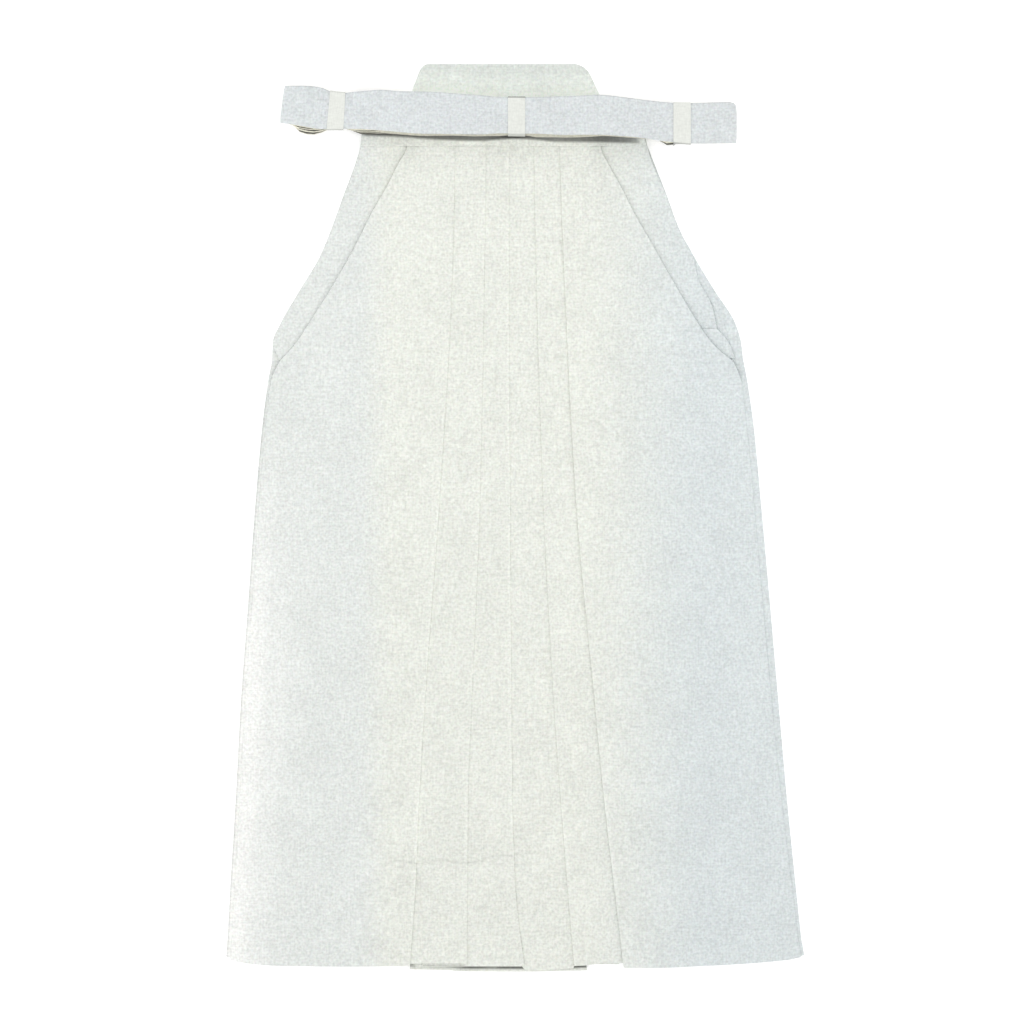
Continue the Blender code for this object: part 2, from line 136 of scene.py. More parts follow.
# How far the back comes round to the front at the side seams
BACK_PEEK = Table(
    "down left right",
    (255, 3.0, 6.1),
    (310, 3.8, 7.4),
    (490, 4.4, 7.6),
    (600, 4.6, 7.0),
    (700, 4.6, 5.9),
    (800, 4.8, 4.1),
    (880, 4.6, 3.0),
)

# Fold edges of the five pleats, and how deep each fold goes under
PLEATS = Table(
    "down p1 p2 p3 p4 p5 depth",
    (-35, -64.0, -31.5, -6.7, 19.5, 46.5, 24.0),
    (10, -64.1, -31.3, -6.7, 20.0, 47.4, 25.0),
    (150, -67.3, -33.1, -6.7, 22.7, 52.5, 31.0),
    (380, -80.4, -37.6, -5.6, 29.8, 64.4, 40.0),
    (600, -96.3, -46.4, -4.0, 41.2, 84.7, 46.0),
    (700, -102.1, -50.3, -3.0, 48.3, 94.3, 48.0),
    (790, -106.0, -50.9, -0.1, 55.2, 104.7, 48.0),
    (880, -112.1, -51.3, 9.5, 62.7, 115.3, 48.0),
)
CENTRE_STRIP_UNDERLAP = 30.0
STRIP_STEP = 1.0

# How flat each fold edge is pressed, from 0, open, to 1, and how far it stands up, in mm
PRESSED = Table(
    "down p1 p2 p3 p4 p5",
    (-35, 0.9, 0.9, 1.0, 0.9, 0.8),
    (150, 0.9, 1.0, 1.0, 0.9, 0.6),
    (380, 0.85, 1.0, 1.0, 0.85, 0.5),
    (600, 0.8, 1.0, 1.0, 0.9, 0.5),
    (880, 0.9, 1.0, 0.9, 0.7, 0.4),
)
RAISED = Table(
    "down p1 p2 p3 p4 p5",
    (-35, 0.0, 0.0, 0.0, 0.0, 0.0),
    (60, 0.0, 0.0, 0.0, 0.05, 0.2),
    (300, 0.1, 0.0, 0.0, 0.1, 0.35),
    (480, 0.15, 0.0, 0.0, 0.15, 0.45),
    (640, 0.2, 0.0, 0.0, 0.15, 0.3),
    (760, 0.1, 0.05, 0.1, 0.2, 0.3),
    (860, 0.05, 0.05, 0.3, 0.4, 0.7),
    (880, 0.05, 0.05, 0.3, 0.4, 0.7),
)
# Painted highlight on the rim of each fold edge, which makes the shade along it fainter
FOLD_LIGHT = Table(
    "down p1 p2 p3 p4 p5",
    (-35, 0.0, 0.03, 0.09, 0.0, 0.0),
    (300, 0.03, 0.03, 0.09, 0.0, 0.0),
    (420, 0.09, 0.06, 0.09, 0.0, 0.0),
    (640, 0.09, 0.04, 0.09, 0.0, 0.02),
    (750, 0.15, 0.11, 0.09, 0.08, 0.12),
    (800, 0.1, 0.03, 0.0, 0.03, 0.04),
    (880, 0.04, 0.0, 0.0, 0.0, 0.0),
)
FOLD_LIGHT_WIDTH = 1.4
SQUEEZE = 0.88
PRESS_REACH = 28.0
PRESS_SHARE = 0.9
PRESS_FADE = (14.0, 32.0)
PRESS_AT_HEM = 0.5
RAISE_REACH = 12.0
RETURN_SHARE = 0.85

# Hem of the two outer front panels, across the garment, and of the folded layers, by their level
OUTER_HEM = Table(
    "x down",
    (-308, 870.0),
    (-300, 873.6),
    (-282, 876.8),
    (-253, 878.9),
    (-182, 879.6),
    (-113, 878.9),
    (116, 881.0),
    (150, 881.0),
    (194, 879.2),
    (239, 877.0),
    (290, 872.5),
    (308, 868.6),
)
LEFT_FOLD_HEM = Table("level down", (4, 878.6), (5, 879.4), (6, 877.9), (7, 876.4), (8, 877.6), (9, 878.9))
RIGHT_FOLD_HEM = Table("level down", (3, 877.0), (4, 877.0), (5, 876.2), (6, 878.6), (7, 881.0))
CENTRE_STRIP_HEM = Table("x down", (-21, 878.8), (8.4, 879.0), (9.8, 883.9), (20, 884.0), (62, 881.4))
RIGHT_PANEL_LEVEL = 5
RIGHT_PANEL_HEM = Table("x down", (62, 878.9), (75, 878.4), (88, 876.4), (102, 875.7), (116, 876.0))
BACK_HEM = 876.8
BACK_HEM_RISE = 1.5
GUSSET_HEM = Table("x down", (-113, 882.6), (-72, 883.4), (-58, 884.6), (8, 884.9), (60, 884.0), (77, 883.6))

# Draping of the outer panels from the top of the pleat stack to the side seams
DRAPE_RUN = 72.0
DRAPE_START = 3.0
DRAPE_SHARE = 0.96
EDGE_LEVEL_OVER_LEAF = 2.7
EDGE_LEVEL_AT_SEAM = 1.0
EDGE_LEVEL_CHANGE = (236.0, 300.0)

LEFT_LEG = {"side": "left", "inward": 1, "folds": ("p1", "p2", "p3"), "top": 9, "hem": LEFT_FOLD_HEM}
RIGHT_LEG = {"side": "right", "inward": -1, "folds": ("p5", "p4"), "top": 7, "hem": RIGHT_FOLD_HEM,
             "strip": 3}
BACK_LAP = {"left_end": 11.5, "ramp_high": 12.5, "ramp_low": 19.0, "right_end": -30.0}
BACK_LAP_STEP = 2.0
BACK_COUNTS = {"left": 52, "right": 48, "ramp": 6, "raised": 8}
LAP_FLAP = (0.0, 5.0, 11.0)

# How wide the folded-over part of the back tucks under the seam, and where it narrows and rises to it
SEAM_TUCK = 1.5
RETURN_NARROWS = (238.0, 248.0)
RETURN_RISES = (248.0, 262.0)

GUSSET_LEVEL = 2
GUSSET = Table(
    "down left right",
    (430, -24.0, 16.0),
    (600, -60.0, 34.0),
    (760, -94.0, 60.0),
    (880, -113.0, 77.0),
)
GUSSET_EDGE_SHARE = 0.4
GUSSET_COUNT = 26

LEAF_LEVEL = 1
LEAF_INSET = 0.7
LEAF_UNDERLAP = 18.0
LEAF_EDGE_SHARE = 0.7
LEAF_COUNT = 10
LEFT_LEAF_TIP = -252.0
LEFT_LEAF_TIP_ROUND = (217.0, 235.0)
RIGHT_LEAF_EDGE = Table(
    "down x",
    (-35, 135.0),
    (8, 140.8),
    (60, 161.0),
    (95, 174.0),
    (124, 189.5),
    (147, 194.4),
    (176, 209.3),
    (200, 214.7),
)
RIGHT_TIP_EDGE = Table("down x", (200.4, 214.5), (216, 227.4), (232, 234.0))

# Front waistband
BAND_LEFT = -165.0
BAND_RIGHT = 141.0
BAND_LOWER_EDGE = 6.4
BAND_UPPER_EDGE = -35.0
BAND_SLANT = (0.17, -0.31)
BAND_REACH = 6.0
BAND_STEP = 2.5
BAND_FINE_STEP = 0.5
BAND_FLAP = (9.0, 5.0, 1.6)
BAND_FOLD_INSET = 3.0
BAND_FOLD_REACH = 2.7

# Stiff back board
BOARD_TOP = -79.8
BOARD_BOTTOM = -3.0
BOARD_LEFT = (-99.0, -129.0)
BOARD_RIGHT = (74.5, 111.0)
BOARD_CORNER = (7.5, 11.0)
BOARD_COVER_TOP = BOARD_TOP - 1.1
BOARD_FACE = BOARD_THICKNESS - 0.35
BOARD_UNDER = 0.03
BOARD_ROUND = 1.6
BOARD_CROWN = 0.35
BOARD_CROWN_AT = (3.0, 19.0)
BOARD_PULL = 0.06
BOARD_PULL_LENGTH = 6.3
BOARD_SEAM_AT = 2.9
BOARD_SEAM_DEPTH = 0.16
BOARD_SEAM_WIDTH = 0.35
BOARD_EDGE_ROWS = (0.0, 0.12, 0.45, 1.0, 1.8, 2.5, 2.9, 3.3, 4.2)
BOARD_ROWS = 16
BOARD_COLUMNS = 34
# Painted light on the board near the bundle, against the shade that the bundle casts there, and painted shade
# further up, by the distance above the bundle's upper edge
BOARD_SHADE = Table(
    "above shade",
    (0, -0.26),
    (3, -0.22),
    (8, -0.15),
    (15, -0.09),
    (21, -0.01),
    (28, 0.08),
    (60, 0.08),
)
# Painted shade along the rounded rims of the board and of the ties' far edges
RIM_SHADE = 0.13

# Bundle of folded ties: its long edges, the height of its underside, how far the lower layers stick out
BUNDLE = Table(
    "x upper lower under loose",
    (-247.5, -57.5, -18.2, 0.0, 0.0),
    (-238, -57.7, -16.9, 0.0, 0.6),
    (-231, -57.7, -16.0, 0.4, 7.0),
    (-222, -57.4, -14.6, 1.0, 8.6),
    (-209, -55.7, -12.2, 2.6, 6.4),
    (-203, -53.6, -11.6, 3.4, 3.0),
    (-199, -51.9, -11.4, 4.0, 0.2),
    (-181, -50.2, -11.4, 6.6, 0.2),
    (-174, -51.0, -11.6, 7.6, 3.6),
    (-165, -51.6, -11.6, 8.8, 6.4),
    (-156, -52.3, -11.0, 10.1, 5.4),
    (-142, -53.3, -9.8, 12.0, 3.2),
    (-120, -51.5, -8.0, 15.9, 3.0),
    (-95, -51.1, -6.4, 18.8, 2.6),
    (-60, -49.0, -6.0, 18.8, 2.6),
    (-37, -47.4, -5.4, 18.6, 2.6),
    (-15, -45.4, -6.7, 18.1, 3.9),
    (-9, -45.3, -6.7, 18.1, 2.7),
    (12, -45.2, -6.5, 17.7, 2.7),
    (18, -45.2, -6.5, 17.5, 4.1),
    (60, -46.6, -5.2, 16.7, 3.2),
    (90, -47.9, -5.2, 15.8, 2.2),
    (113, -45.7, -3.9, 13.0, 1.8),
    (134, -43.0, -2.1, 10.3, 1.2),
    (154, -40.5, 0.8, 7.8, 0.8),
    (158, -40.1, 1.2, 7.4, 4.8),
    (166, -39.5, 2.0, 6.6, 4.4),
    (170, -39.4, 2.5, 6.2, 1.4),
    (188, -39.2, 3.9, 4.2, 0.4),
    (210, -39.9, 3.9, 1.8, 0.0),
    (228, -40.4, 3.9, 0.0, 0.0),
    (235.2, -40.0, 3.8, 0.0, 0.0),
)
BUNDLE_LEAN = Table("x lean", (-248, 0.13), (-205, 0.10), (-150, 0.0), (236, 0.0))
BUNDLE_ENDS = (-245.0, 232.4)
TOP_TIE_LIFT = 1.3
TOP_TIE_CROWN = 0.5
TOP_TIE_THICKNESS = 1.7
TOP_TIE_CORNER = 1.9
TOP_TIE_DROP = 9.0
TOP_TIE_SLIT = 0.2
TOP_TIE_COUNT = 126
END_ROUND = 4.5

# The hidden layers of a tie that is itself sewn double
TIE_LAYERS = 8
TIE_PITCH = BUNDLE_CORE_HEIGHT / TIE_LAYERS
TIE_LAYER = 1.12
TIE_SLIT = 0.16
TIE_COUNT = 62
TIE_ENDS = Table(
    "layer left right near far",
    (0, 3.2, 1.2, 0.0, 0.4),
    (1, 1.6, 2.6, -0.7, -0.5),
    (2, 3.0, 1.5, 0.2, 0.3),
    (3, 0.9, 2.2, -0.9, -0.2),
    (4, 2.4, 0.8, -0.3, 0.5),
    (5, 1.3, 2.4, -1.2, -0.6),
    (6, 2.8, 1.0, -0.5, 0.1),
    (7, 1.2, 1.9, -1.4, -0.4),
)
LOOSE_SHARE = Table("layer share", (0, 1.0), (1, 0.82), (2, 0.64), (3, 0.46), (4, 0.28), (5, 0.12), (7, 0.0))

# Loose layers that fan out: from, to and how dark the painted shade is in the slots between them
FANNED = ((-238.0, -201.0, 0.9), (-178.0, -140.0, 0.8), (154.0, 171.0, 0.95))
FANNED_LAYERS = 6
FAN_STAGGER = 1.0
FAN_FADE = 3.0
FAN_LIGHT = 0.32
# Painted shade on the lowest tie layers, where they lie in the dark slot under the bundle
UNDER_SHADE = Table(
    "x depth",
    (-178, 0.0),
    (-171, 0.72),
    (-160, 0.78),
    (-148, 0.5),
    (-138, 0.0),
    (152, 0.0),
    (158, 0.7),
    (168, 0.7),
    (172, 0.0),
)
UNDER_SHADE_LAYERS = 2
# Mark of the section points on a tie's far rim, which get the painted shade RIM_SHADE
RIM = -1

# Paper bands round the bundle: name, left and right end, and how dark the painted shade is on their upper and
# lower edges
PAPER_BANDS = (
    ("left", -199.0, -181.5, 0.14, 0.4),
    ("centre", -8.0, 10.8, 0.5, 0.22),
    ("right", 168.0, 187.0, 0.0, 0.5),
)
PINCH_REACH = 13.0

# Paper: thickness, corners, lap, how far it stands off the ties, and how far it swells over them
PAPER = 0.2
PAPER_CORNER = 1.3
PAPER_LAP = 0.32
PAPER_OFF_LOWER = 0.55
PAPER_OFF_UPPER = 0.75
PAPER_OFF_LOOSE = 0.45
PAPER_OFF_UNDER = 0.3
PAPER_SWELL = 0.12
PAPER_COUNT = 9

# Painted shade between the bundle and the waistband: its lower limit, and how dark it is; below zero, painted
# light
BUNDLE_SHADE = Table(
    "x edge depth",
    (-168, -6.4, 0.5),
    (-160, -4.7, 0.84),
    (-144, -4.1, 0.82),
    (-125, -3.2, 0.76),
    (-80, 0.1, 0.76),
    (-37, 1.1, 0.7),
    (-14, -0.5, 0.82),
    (1, -1.3, 0.95),
    (15, -0.7, 0.76),
    (47, 2.2, 0.66),
    (90, 2.7, 0.74),
    (122, 3.4, 0.62),
    (130, 3.6, 0.46),
    (135, 3.8, 0.0),
    (138, 3.8, -0.2),
    (141, 3.8, -0.2),
)
# Painted light on the waistband between the painted shade and its lower edge
BUNDLE_SHADE_GLOW = 0.11

# Painted shade on the gusset just under the hems of the folded layers, and painted light where its depth is
# below zero
HEM_SHADE = Table(
    "x depth",
    (-113.5, 0.4),
    (-109.0, 0.3),
    (-106.0, -0.1),
    (-101.0, -0.25),
    (-95, 0.0),
    (-76, 0.08),
    (-70, 0.36),
    (-59, 0.42),
    (-54, 0.72),
    (-30, 0.66),
    (-24, 0.4),
    (-18, 0.72),
    (8, 0.75),
    (74, 0.75),
    (77, 0.5),
)
HEM_SHADE_AT = (2.6, 3.3)
# Painted shade on the hems of the folded layers that show between the first and second fold edges
FOLD_HEM_SHADE = 0.42
FOLD_HEM_SHADE_SPAN = (-110.0, -54.0)
FOLD_HEM_SHADE_AT = (0.4, 1.2)
# Painted shade along the outer fold of the left side and in its seam under the front's edge
LEFT_RIM_SHADE = 0.16
LEFT_RIM_AT = (1.1, 2.1)
LEFT_SEAM_SHADE = 0.07
RIM_SHADE_FADE = 30.0

# Finer sizes that the solids leave out
CLOTH = 0.36
DOUBLE = 0.2
LAYER_GAP = 0.02
FLOOR_LAYER = CLOTH / 2 + LAYER_GAP
TURNED = 12.0
TURNED_FADE = 4.0
BEND_EDGE = DOUBLE + CLOTH / 2
BEND_ANGLES = tuple(math.radians(degrees) for degrees in (60.0, 30.0, 0.0, -30.0, -60.0))
TURN_ANGLES = tuple(math.radians(degrees) for degrees in (-67.5, -45.0, -22.5, 0.0, 22.5, 45.0, 67.5))

# Kinds of points in a section
MAIN, TURNED_SIDE, ROUND_SIDE = 0, 1, 2

# Distances of points and rows from a turned edge, and how many points a stretch of a section has
EDGE_DISTANCES = (2.0, 5.0, 8.5, 11.0, 13.0, 16.0, 20.0)
FLAP_DISTANCES = (11.5, 8.0, 4.0, 1.6)
HEM_DISTANCES = (26.0, 22.0, 18.5, 16.0, 14.0, 12.0, 9.0, 5.5, 3.3, 2.6, 1.4)
TURNED_BACK = (1.6, 4.0, 8.0, 11.5)
HEM_CLEARANCE = 2.0
FIRST_STEP = 4.0
OUTER_COUNT = 34
RETURN_COUNT = 9
PANEL_COUNT = 22

# Where the rows of the long panels start, and the steps between them
FRONT_TOP = -30.0
BACK_TOP = -2.7
GUSSET_TOP = 430.0
ROW_STEP = 5.0
LOW_ROW_STEP = 4.5
CREASED = (750.0, 778.0)
CREASED_STEP = 1.25

# The last stretch of a long panel, which is evened out to the hem's own line
HEM_STRETCH = 30.0

# Stitches: the hem row that they follow, sides, and rings as (share of the length, scale, height)
HEM_STITCH_ROW = 5
STITCH_SIDES = 6
STITCH_RINGS = (
    (-0.5, 0.35, -0.18),
    (-0.28, 0.95, 0.05),
    (0.0, 1.0, 0.1),
    (0.28, 0.95, 0.05),
    (0.5, 0.35, -0.18),
)

# Steps of the stitches as (pitch, start), and their size as (length, width)
HEM_STITCH_STEPS = (19.0, 12.0)
HEM_STITCH_SIZE = (1.5, 0.32)
BAND_STITCH_STEPS = (6.4, 3.0)
BAND_STITCH_SIZE = (2.2, 0.34)

# The long wavy crease near the hem, as (x, down)
WAVY_LINE = ((-128, 766), (-103, 770.5), (-77, 765), (-60, 770), (-45, 768.5), (-25, 762.5), (-3, 761))

# Creases on the upper side: height, width on each side of the line, and the line as (x, down)
CREASES = (
    (0.45, 3.4, 6.5, ((-162, 733), *WAVY_LINE)),
    (-0.6, 1.0, 1.0, ((-150, 744), *WAVY_LINE)),
    (0.3, 2.2, 6.0, ((-3, 761), (28, 757), (62, 752), (101, 745), (128, 747))),
    (0.3, 2.5, 4.0, ((-2, 796), (9, 799), (15, 797))),
    (0.25, 3.0, 9.0, ((-193, 745), (-172, 760), (-140, 764))),
    (0.35, 5.0, 26.0, ((-174, 560), (-175, 700), (-173, 800), (-171, 884))),
    (0.25, 6.0, 18.0, ((131, 210), (136, 330), (139, 430), (150, 560))),
    (-0.3, 7.0, 10.0, ((-216, 620), (-219, 740), (-226, 860))),
    (0.3, 6.0, 14.0, ((196, 560), (203, 690), (214, 820))),
    (0.25, 4.0, 8.0, ((-150, 320), (-128, 336), (-112, 333))),
    (0.25, 4.0, 9.0, ((84, 300), (110, 318), (139, 312), (160, 322))),
    (0.25, 3.0, 8.0, ((-86, 196), (-58, 203), (-30, 198))),
    (0.2, 3.0, 7.0, ((-34, 452), (-12, 458), (18, 452))),
    (0.3, 2.5, 5.0, ((-112, 14), (-109, 40), (-104, 74))),
    (0.25, 2.5, 5.0, ((-88, 14), (-90, 34), (-93, 58))),
    (0.25, 2.0, 4.0, ((-49, 12), (-49, 36), (-50, 66))),
    (0.2, 2.0, 4.0, ((34, 12), (35, 40), (37, 66))),
    (0.3, 2.5, 5.0, ((66, 12), (71, 36), (78, 70))),
    (0.2, 2.5, 5.0, ((7, 12), (7.5, 30), (8, 58))),
)

# Sharp creases as a darker line of painted shade: depth of the shade, half width, and the line as (x, down)
SHARP_CREASES = (
    (0.14, 0.9, ((-132, 762), *WAVY_LINE)),
    (0.05, 1.0, ((-160, 734), (-150, 744), (-132, 762))),
    (0.05, 1.0, ((-3, 761), (28, 757), (62, 752))),
)
CREASE_SHADE_FLOOR = 3.0

# Broad waves: height, length across and down, and phase
WAVES = (
    (0.22, 170.0, 1300.0, 0.6),
    (0.16, 96.0, -760.0, 2.1),
    (0.14, 1200.0, 240.0, 1.0),
    (0.10, 61.0, 900.0, 4.0),
)
SETTLE_FROM = 1.2
SETTLE_TO = 6.0

# Colours as linear reflectance, and the roughness of each finish
BODY_CENTRE = (0.745, 0.763, 0.705)
BODY_LEFT = (0.705, 0.732, 0.708)
# Darker to the right as painted shade, and cooler
BODY_RIGHT = (0.652, 0.697, 0.700)
# Colour of the painted light that makes the cloth nearly white along the left edge
BODY_EDGE = (0.870, 0.876, 0.850)
# Painted light that makes the body lighter towards the top, and a gain that makes it a little darker towards
# the hem
TOP_GAIN = 1.045
HEM_GAIN = 0.985
TIE_COLOUR = (0.668, 0.708, 0.710)
TIE_END_COLOUR = (0.684, 0.712, 0.724)
LOWER_TIE_COLOUR = (0.680, 0.668, 0.570)
BOARD_COLOUR = (0.800, 0.842, 0.800)
PAPER_COLOUR = (0.765, 0.782, 0.735)
THREAD_COLOUR = (0.74, 0.75, 0.70)
# Colours across the body as (x, colour), and how much painted light whitens it at places from its left edge
BODY_TONES = (
    (-310, BODY_LEFT),
    (-172, BODY_LEFT),
    (-128, BODY_CENTRE),
    (60, BODY_CENTRE),
    (210, BODY_RIGHT),
    (310, BODY_RIGHT),
)
BODY_SPAN = (-310, 310)
PAINTED_EDGE_LIGHT = ((-300, 1.0), (-268, 0.95), (-246, 0.42), (-222, 0.14), (-190, 0.0))
PAINTED_EDGE_LIGHT_SPAN = (-330, -180)
PAINTED_EDGE_LIGHT_SLANT = -0.065
# Heights in metres between which the painted light of the left edge and the general gain change
PAINTED_EDGE_LIGHT_BELOW = (0.12, -0.16)
GAIN_SPAN = (-0.4, 0.2)
CLOTH_ROUGHNESS = 0.92
PAPER_ROUGHNESS = 0.75
THREAD_ROUGHNESS = 0.8
SHEEN = 0.08
SHEEN_ROUGHNESS = 0.6
CLOTH_SPECULAR = 0.25
WEAVE_TONE = 0.012
WEAVE_BUMP = 0.05
PAPER_BUMP = 0.04
THREAD_BUMP = 0.05
CHROMA = 0.09
CHROMA_SCALE = 340.0

# Place of the solids: the middle of their box lies at the origin
SOLID_LEFT = -307.3
SHIFT_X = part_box("back_left")[0][0] / MM - SOLID_LEFT
SHIFT_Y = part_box("back_board")[1][1] / MM + BOARD_TOP

# Camera straight above the garment; one pixel of the 1024-pixel frame covers PIXEL millimetres
PIXEL = 1.064
FRAME_PIXELS = 1024
FRAME_CENTRE = (-3.3, 5.85)
CAMERA_HEIGHT = 30000.0
SENSOR = 36.0
SUBJECT_HEIGHT = 8.0

# Floor: size and height in metres, reflectance, light of its own and roughness
FLOOR_SIZE = 12.0
FLOOR_HEIGHT = -0.0002
FLOOR_TONE = 0.93
FLOOR_GLOW = 0.3
FLOOR_ROUGHNESS = 0.9

# Light: strength of the sky, and the lamp's watts, size and place in metres
SKY_STRENGTH = 1.06
LAMP_WATTS = 3.0
LAMP_SIZE = 1.6
LAMP_PLACE = (-1.5, -0.9, 1.3)


def ease(t):
    """Smooth step from 0 to 1."""
    t = np.clip(t, 0.0, 1.0)
    return t * t * (3.0 - 2.0 * t)


def rise(value, start, end):
    """Smooth step of a value, from 0 at start to 1 at end."""
    return ease((value - start) / (end - start))


def mix(a, b, t):
    """Straight mix of two values."""
    return a + (b - a) * t


def bell(distance, width):
    """Round hump of height 1 that fades with distance."""
    return np.exp(-(distance / width) ** 2)


def ripple(place, *waves):
    """Sum of sine waves (height, length, phase) at a place."""
    return sum(height * math.sin(place / length + phase) for height, length, phase in waves)


def outward(side):
    """Direction along X from the centre to a side."""
    return -1 if side == "left" else 1


def to_metres(points):
    """Points in (x, down, z) millimetres, as metres in the frame."""
    points = np.asarray(points, float)
    x = points[..., 0] + SHIFT_X
    y = SHIFT_Y - points[..., 1]
    return np.stack((x, y, points[..., 2]), axis=-1) * MM


def add_object(name, data):
    """A new object in the scene."""
    item = bpy.data.objects.new(name, data)
    bpy.context.scene.collection.objects.link(item)
    return item


def mesh_object(name, points, faces, smooth_angle=50.0):
    """An object in the scene from points in millimetres and faces."""
    mesh = bpy.data.meshes.new(name)
    mesh.from_pydata(to_metres(points).tolist(), [], faces)
    mesh.validate()
    mesh.shade_smooth()
    mesh.set_sharp_from_angle(angle=math.radians(smooth_angle))
    return add_object(name, mesh)


def grid_faces(rows, columns, keep=None, closed=False):
    """Faces between neighbouring points of a grid, leaving out those at masked points."""
    faces = []
    for r in range(rows - 1):
        for c in range(columns if closed else columns - 1):
            d = (c + 1) % columns
            if keep is None or (keep[r, c] and keep[r + 1, c] and keep[r, d] and keep[r + 1, d]):
                faces.append((r * columns + c, r * columns + d, (r + 1) * columns + d, (r + 1) * columns + c))
    return faces


def set_shade(item, values):
    """Store the painted shade at each point: how much darker the cloth is made, or below zero how much
    lighter as painted light.
    """
    layer = item.data.attributes.new("shade", "FLOAT", "POINT")
    layer.data.foreach_set("value", np.asarray(values, np.float32).ravel())


def cloth_from_grid(name, grid, thickness, keep=None, shade=None, smooth_angle=50.0):
    """A thin shell of even thickness on a grid of mid-surface points."""
    rows, columns = grid.shape[:2]
    item = mesh_object(name, grid.reshape(-1, 3), grid_faces(rows, columns, keep))
    if shade is not None:
        set_shade(item, shade)
    work = bmesh.new()
    work.from_mesh(item.data)
    unused = [v for v in work.verts if not v.link_faces]
    bmesh.ops.delete(work, geom=unused, context="VERTS")
    work.to_mesh(item.data)
    work.free()
    wall = item.modifiers.new("thickness", "SOLIDIFY")
    wall.thickness = thickness * MM
    wall.offset = 0.0
    wall.use_even_offset = True
    wall.use_quality_normals = True
    apply_modifiers(item)
    item.data.shade_smooth()
    item.data.set_sharp_from_angle(angle=math.radians(smooth_angle))
    return item


def apply_modifiers(item):
    """Replace an object's mesh by its evaluated mesh."""
    bpy.context.view_layer.update()
    graph = bpy.context.evaluated_depsgraph_get()
    mesh = bpy.data.meshes.new_from_object(item.evaluated_get(graph))
    item.modifiers.clear()
    old = item.data
    item.data = mesh
    bpy.data.meshes.remove(old)


def finish_piece(item, material, slot, *nodes):
    """Give a piece its material and body, and hide the solids that it stands for; the slot is not used."""
    item.data.materials.clear()
    item.data.materials.append(material)
    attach(item, BODY)
    if nodes:
        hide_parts(*nodes)
    return item


# Heights of the layers

def lift(down):
    """How far the front layers are raised where they lie on the back board."""
    return BOARD_LIFT * (1.0 - rise(down, LIFT_TOP, LIFT_BOTTOM))


def layer_height(level, down):
    """Height of the middle of a cloth layer above the floor."""
    return SOLID_CLOTH / 2 + PITCH * level + lift(down)


def front_edge(side, down):
    """Outer edge of a front panel: the slant of the opening, then just inside the side seam."""
    if down < SEAM_START:
        inset = OPENING_INSET * rise(down, SEAM_START, SEAM_START - OPENING_INSET_FADE)
        return OPENING_EDGES.at(side, down) - outward(side) * inset
    return SIDE_EDGES.at(side, down) - outward(side) * BACK_PEEK.at(side, down)


def edge_height(down):
    """Height of a front panel's outer edge, over the leaf fold and then over the back."""
    level = mix(EDGE_LEVEL_OVER_LEAF, EDGE_LEVEL_AT_SEAM, rise(down, *EDGE_LEVEL_CHANGE))
    return layer_height(level, down)


def line_distance(x, down, line):
    """Distance of points from a broken line, and on which side of it they lie."""
    best = np.full(x.shape, np.inf)
    signed = np.zeros_like(x)
    for (xa, ya), (xb, yb) in zip(line, line[1:]):
        length = math.hypot(xb - xa, yb - ya)
        ux, uy = (xb - xa) / length, (yb - ya) / length
        along = np.clip((x - xa) * ux + (down - ya) * uy, 0.0, length)
        dx = x - xa - along * ux
        dy = down - ya - along * uy
        distance = np.hypot(dx, dy)
        closer = distance < best
        best = np.where(closer, distance, best)
        signed = np.where(closer, np.sign(ux * dy - uy * dx), signed)
    return best, signed


def crease_height(x, down):
    """Sum of the listed creases at points of the upper side."""
    total = np.zeros_like(x)
    for height, near, far, line in CREASES:
        distance, side = line_distance(x, down, line)
        total += height * bell(distance, np.where(side > 0, near, far))
    return total


def crease_shade(grid):
    """Painted shade as a fine dark line in the bottom of the sharp creases, on the cloth that lies uppermost.
    """
    total = np.zeros(grid.shape[:2])
    for depth, width, line in SHARP_CREASES:
        distance, _ = line_distance(grid[..., 0], grid[..., 1], line)
        total = np.maximum(total, depth * bell(distance, width))
    return total * (grid[..., 2] > CREASE_SHADE_FLOOR)


def settle(points):
    """Move points up or down by the creases and waves; layers near the floor stay flat."""
    x, down, z = points[..., 0], points[..., 1], points[..., 2]
    wave = np.zeros_like(x)
    for height, across, along, phase in WAVES:
        wave += height * np.sin(2 * math.pi * (x / across + down / along) + phase)
    moved = points.copy()
    moved[..., 2] = z + rise(z, SETTLE_FROM, SETTLE_TO) * (crease_height(x, down) + wave)
    return moved


# Sections of the long panels. A point of a section is (x, z, nx, nz, level, tag, kind): nx and nz point
# to the cloth's right side, the tag is 1 to -1 across a turned edge, and the kind is MAIN, TURNED_SIDE
# or ROUND_SIDE.

def turned_tag(distance):
    """Tag of a point at a distance from a turned edge: 1 over the flap, 0 beyond it."""
    return rise(distance, TURNED + TURNED_FADE, TURNED)


def turned_edge(edge, inward, height, level):
    """The flap, the bend and the first main points of a side edge that is folded under."""
    points = [(edge + inward * d, height, 0.0, 1.0, level, -1.0, TURNED_SIDE) for d in FLAP_DISTANCES]
    for angle in BEND_ANGLES[::-1]:
        x = edge + inward * (BEND_EDGE - DOUBLE * math.cos(angle))
        points.append((x, height, 0.0, 1.0, level, math.sin(angle), TURNED_SIDE))
    points.append((edge + inward * BEND_EDGE, height, 0.0, 1.0, level, 1.0, MAIN))
    points += [(edge + inward * d, height, 0.0, 1.0, level, turned_tag(d), MAIN) for d in EDGE_DISTANCES]
    return points


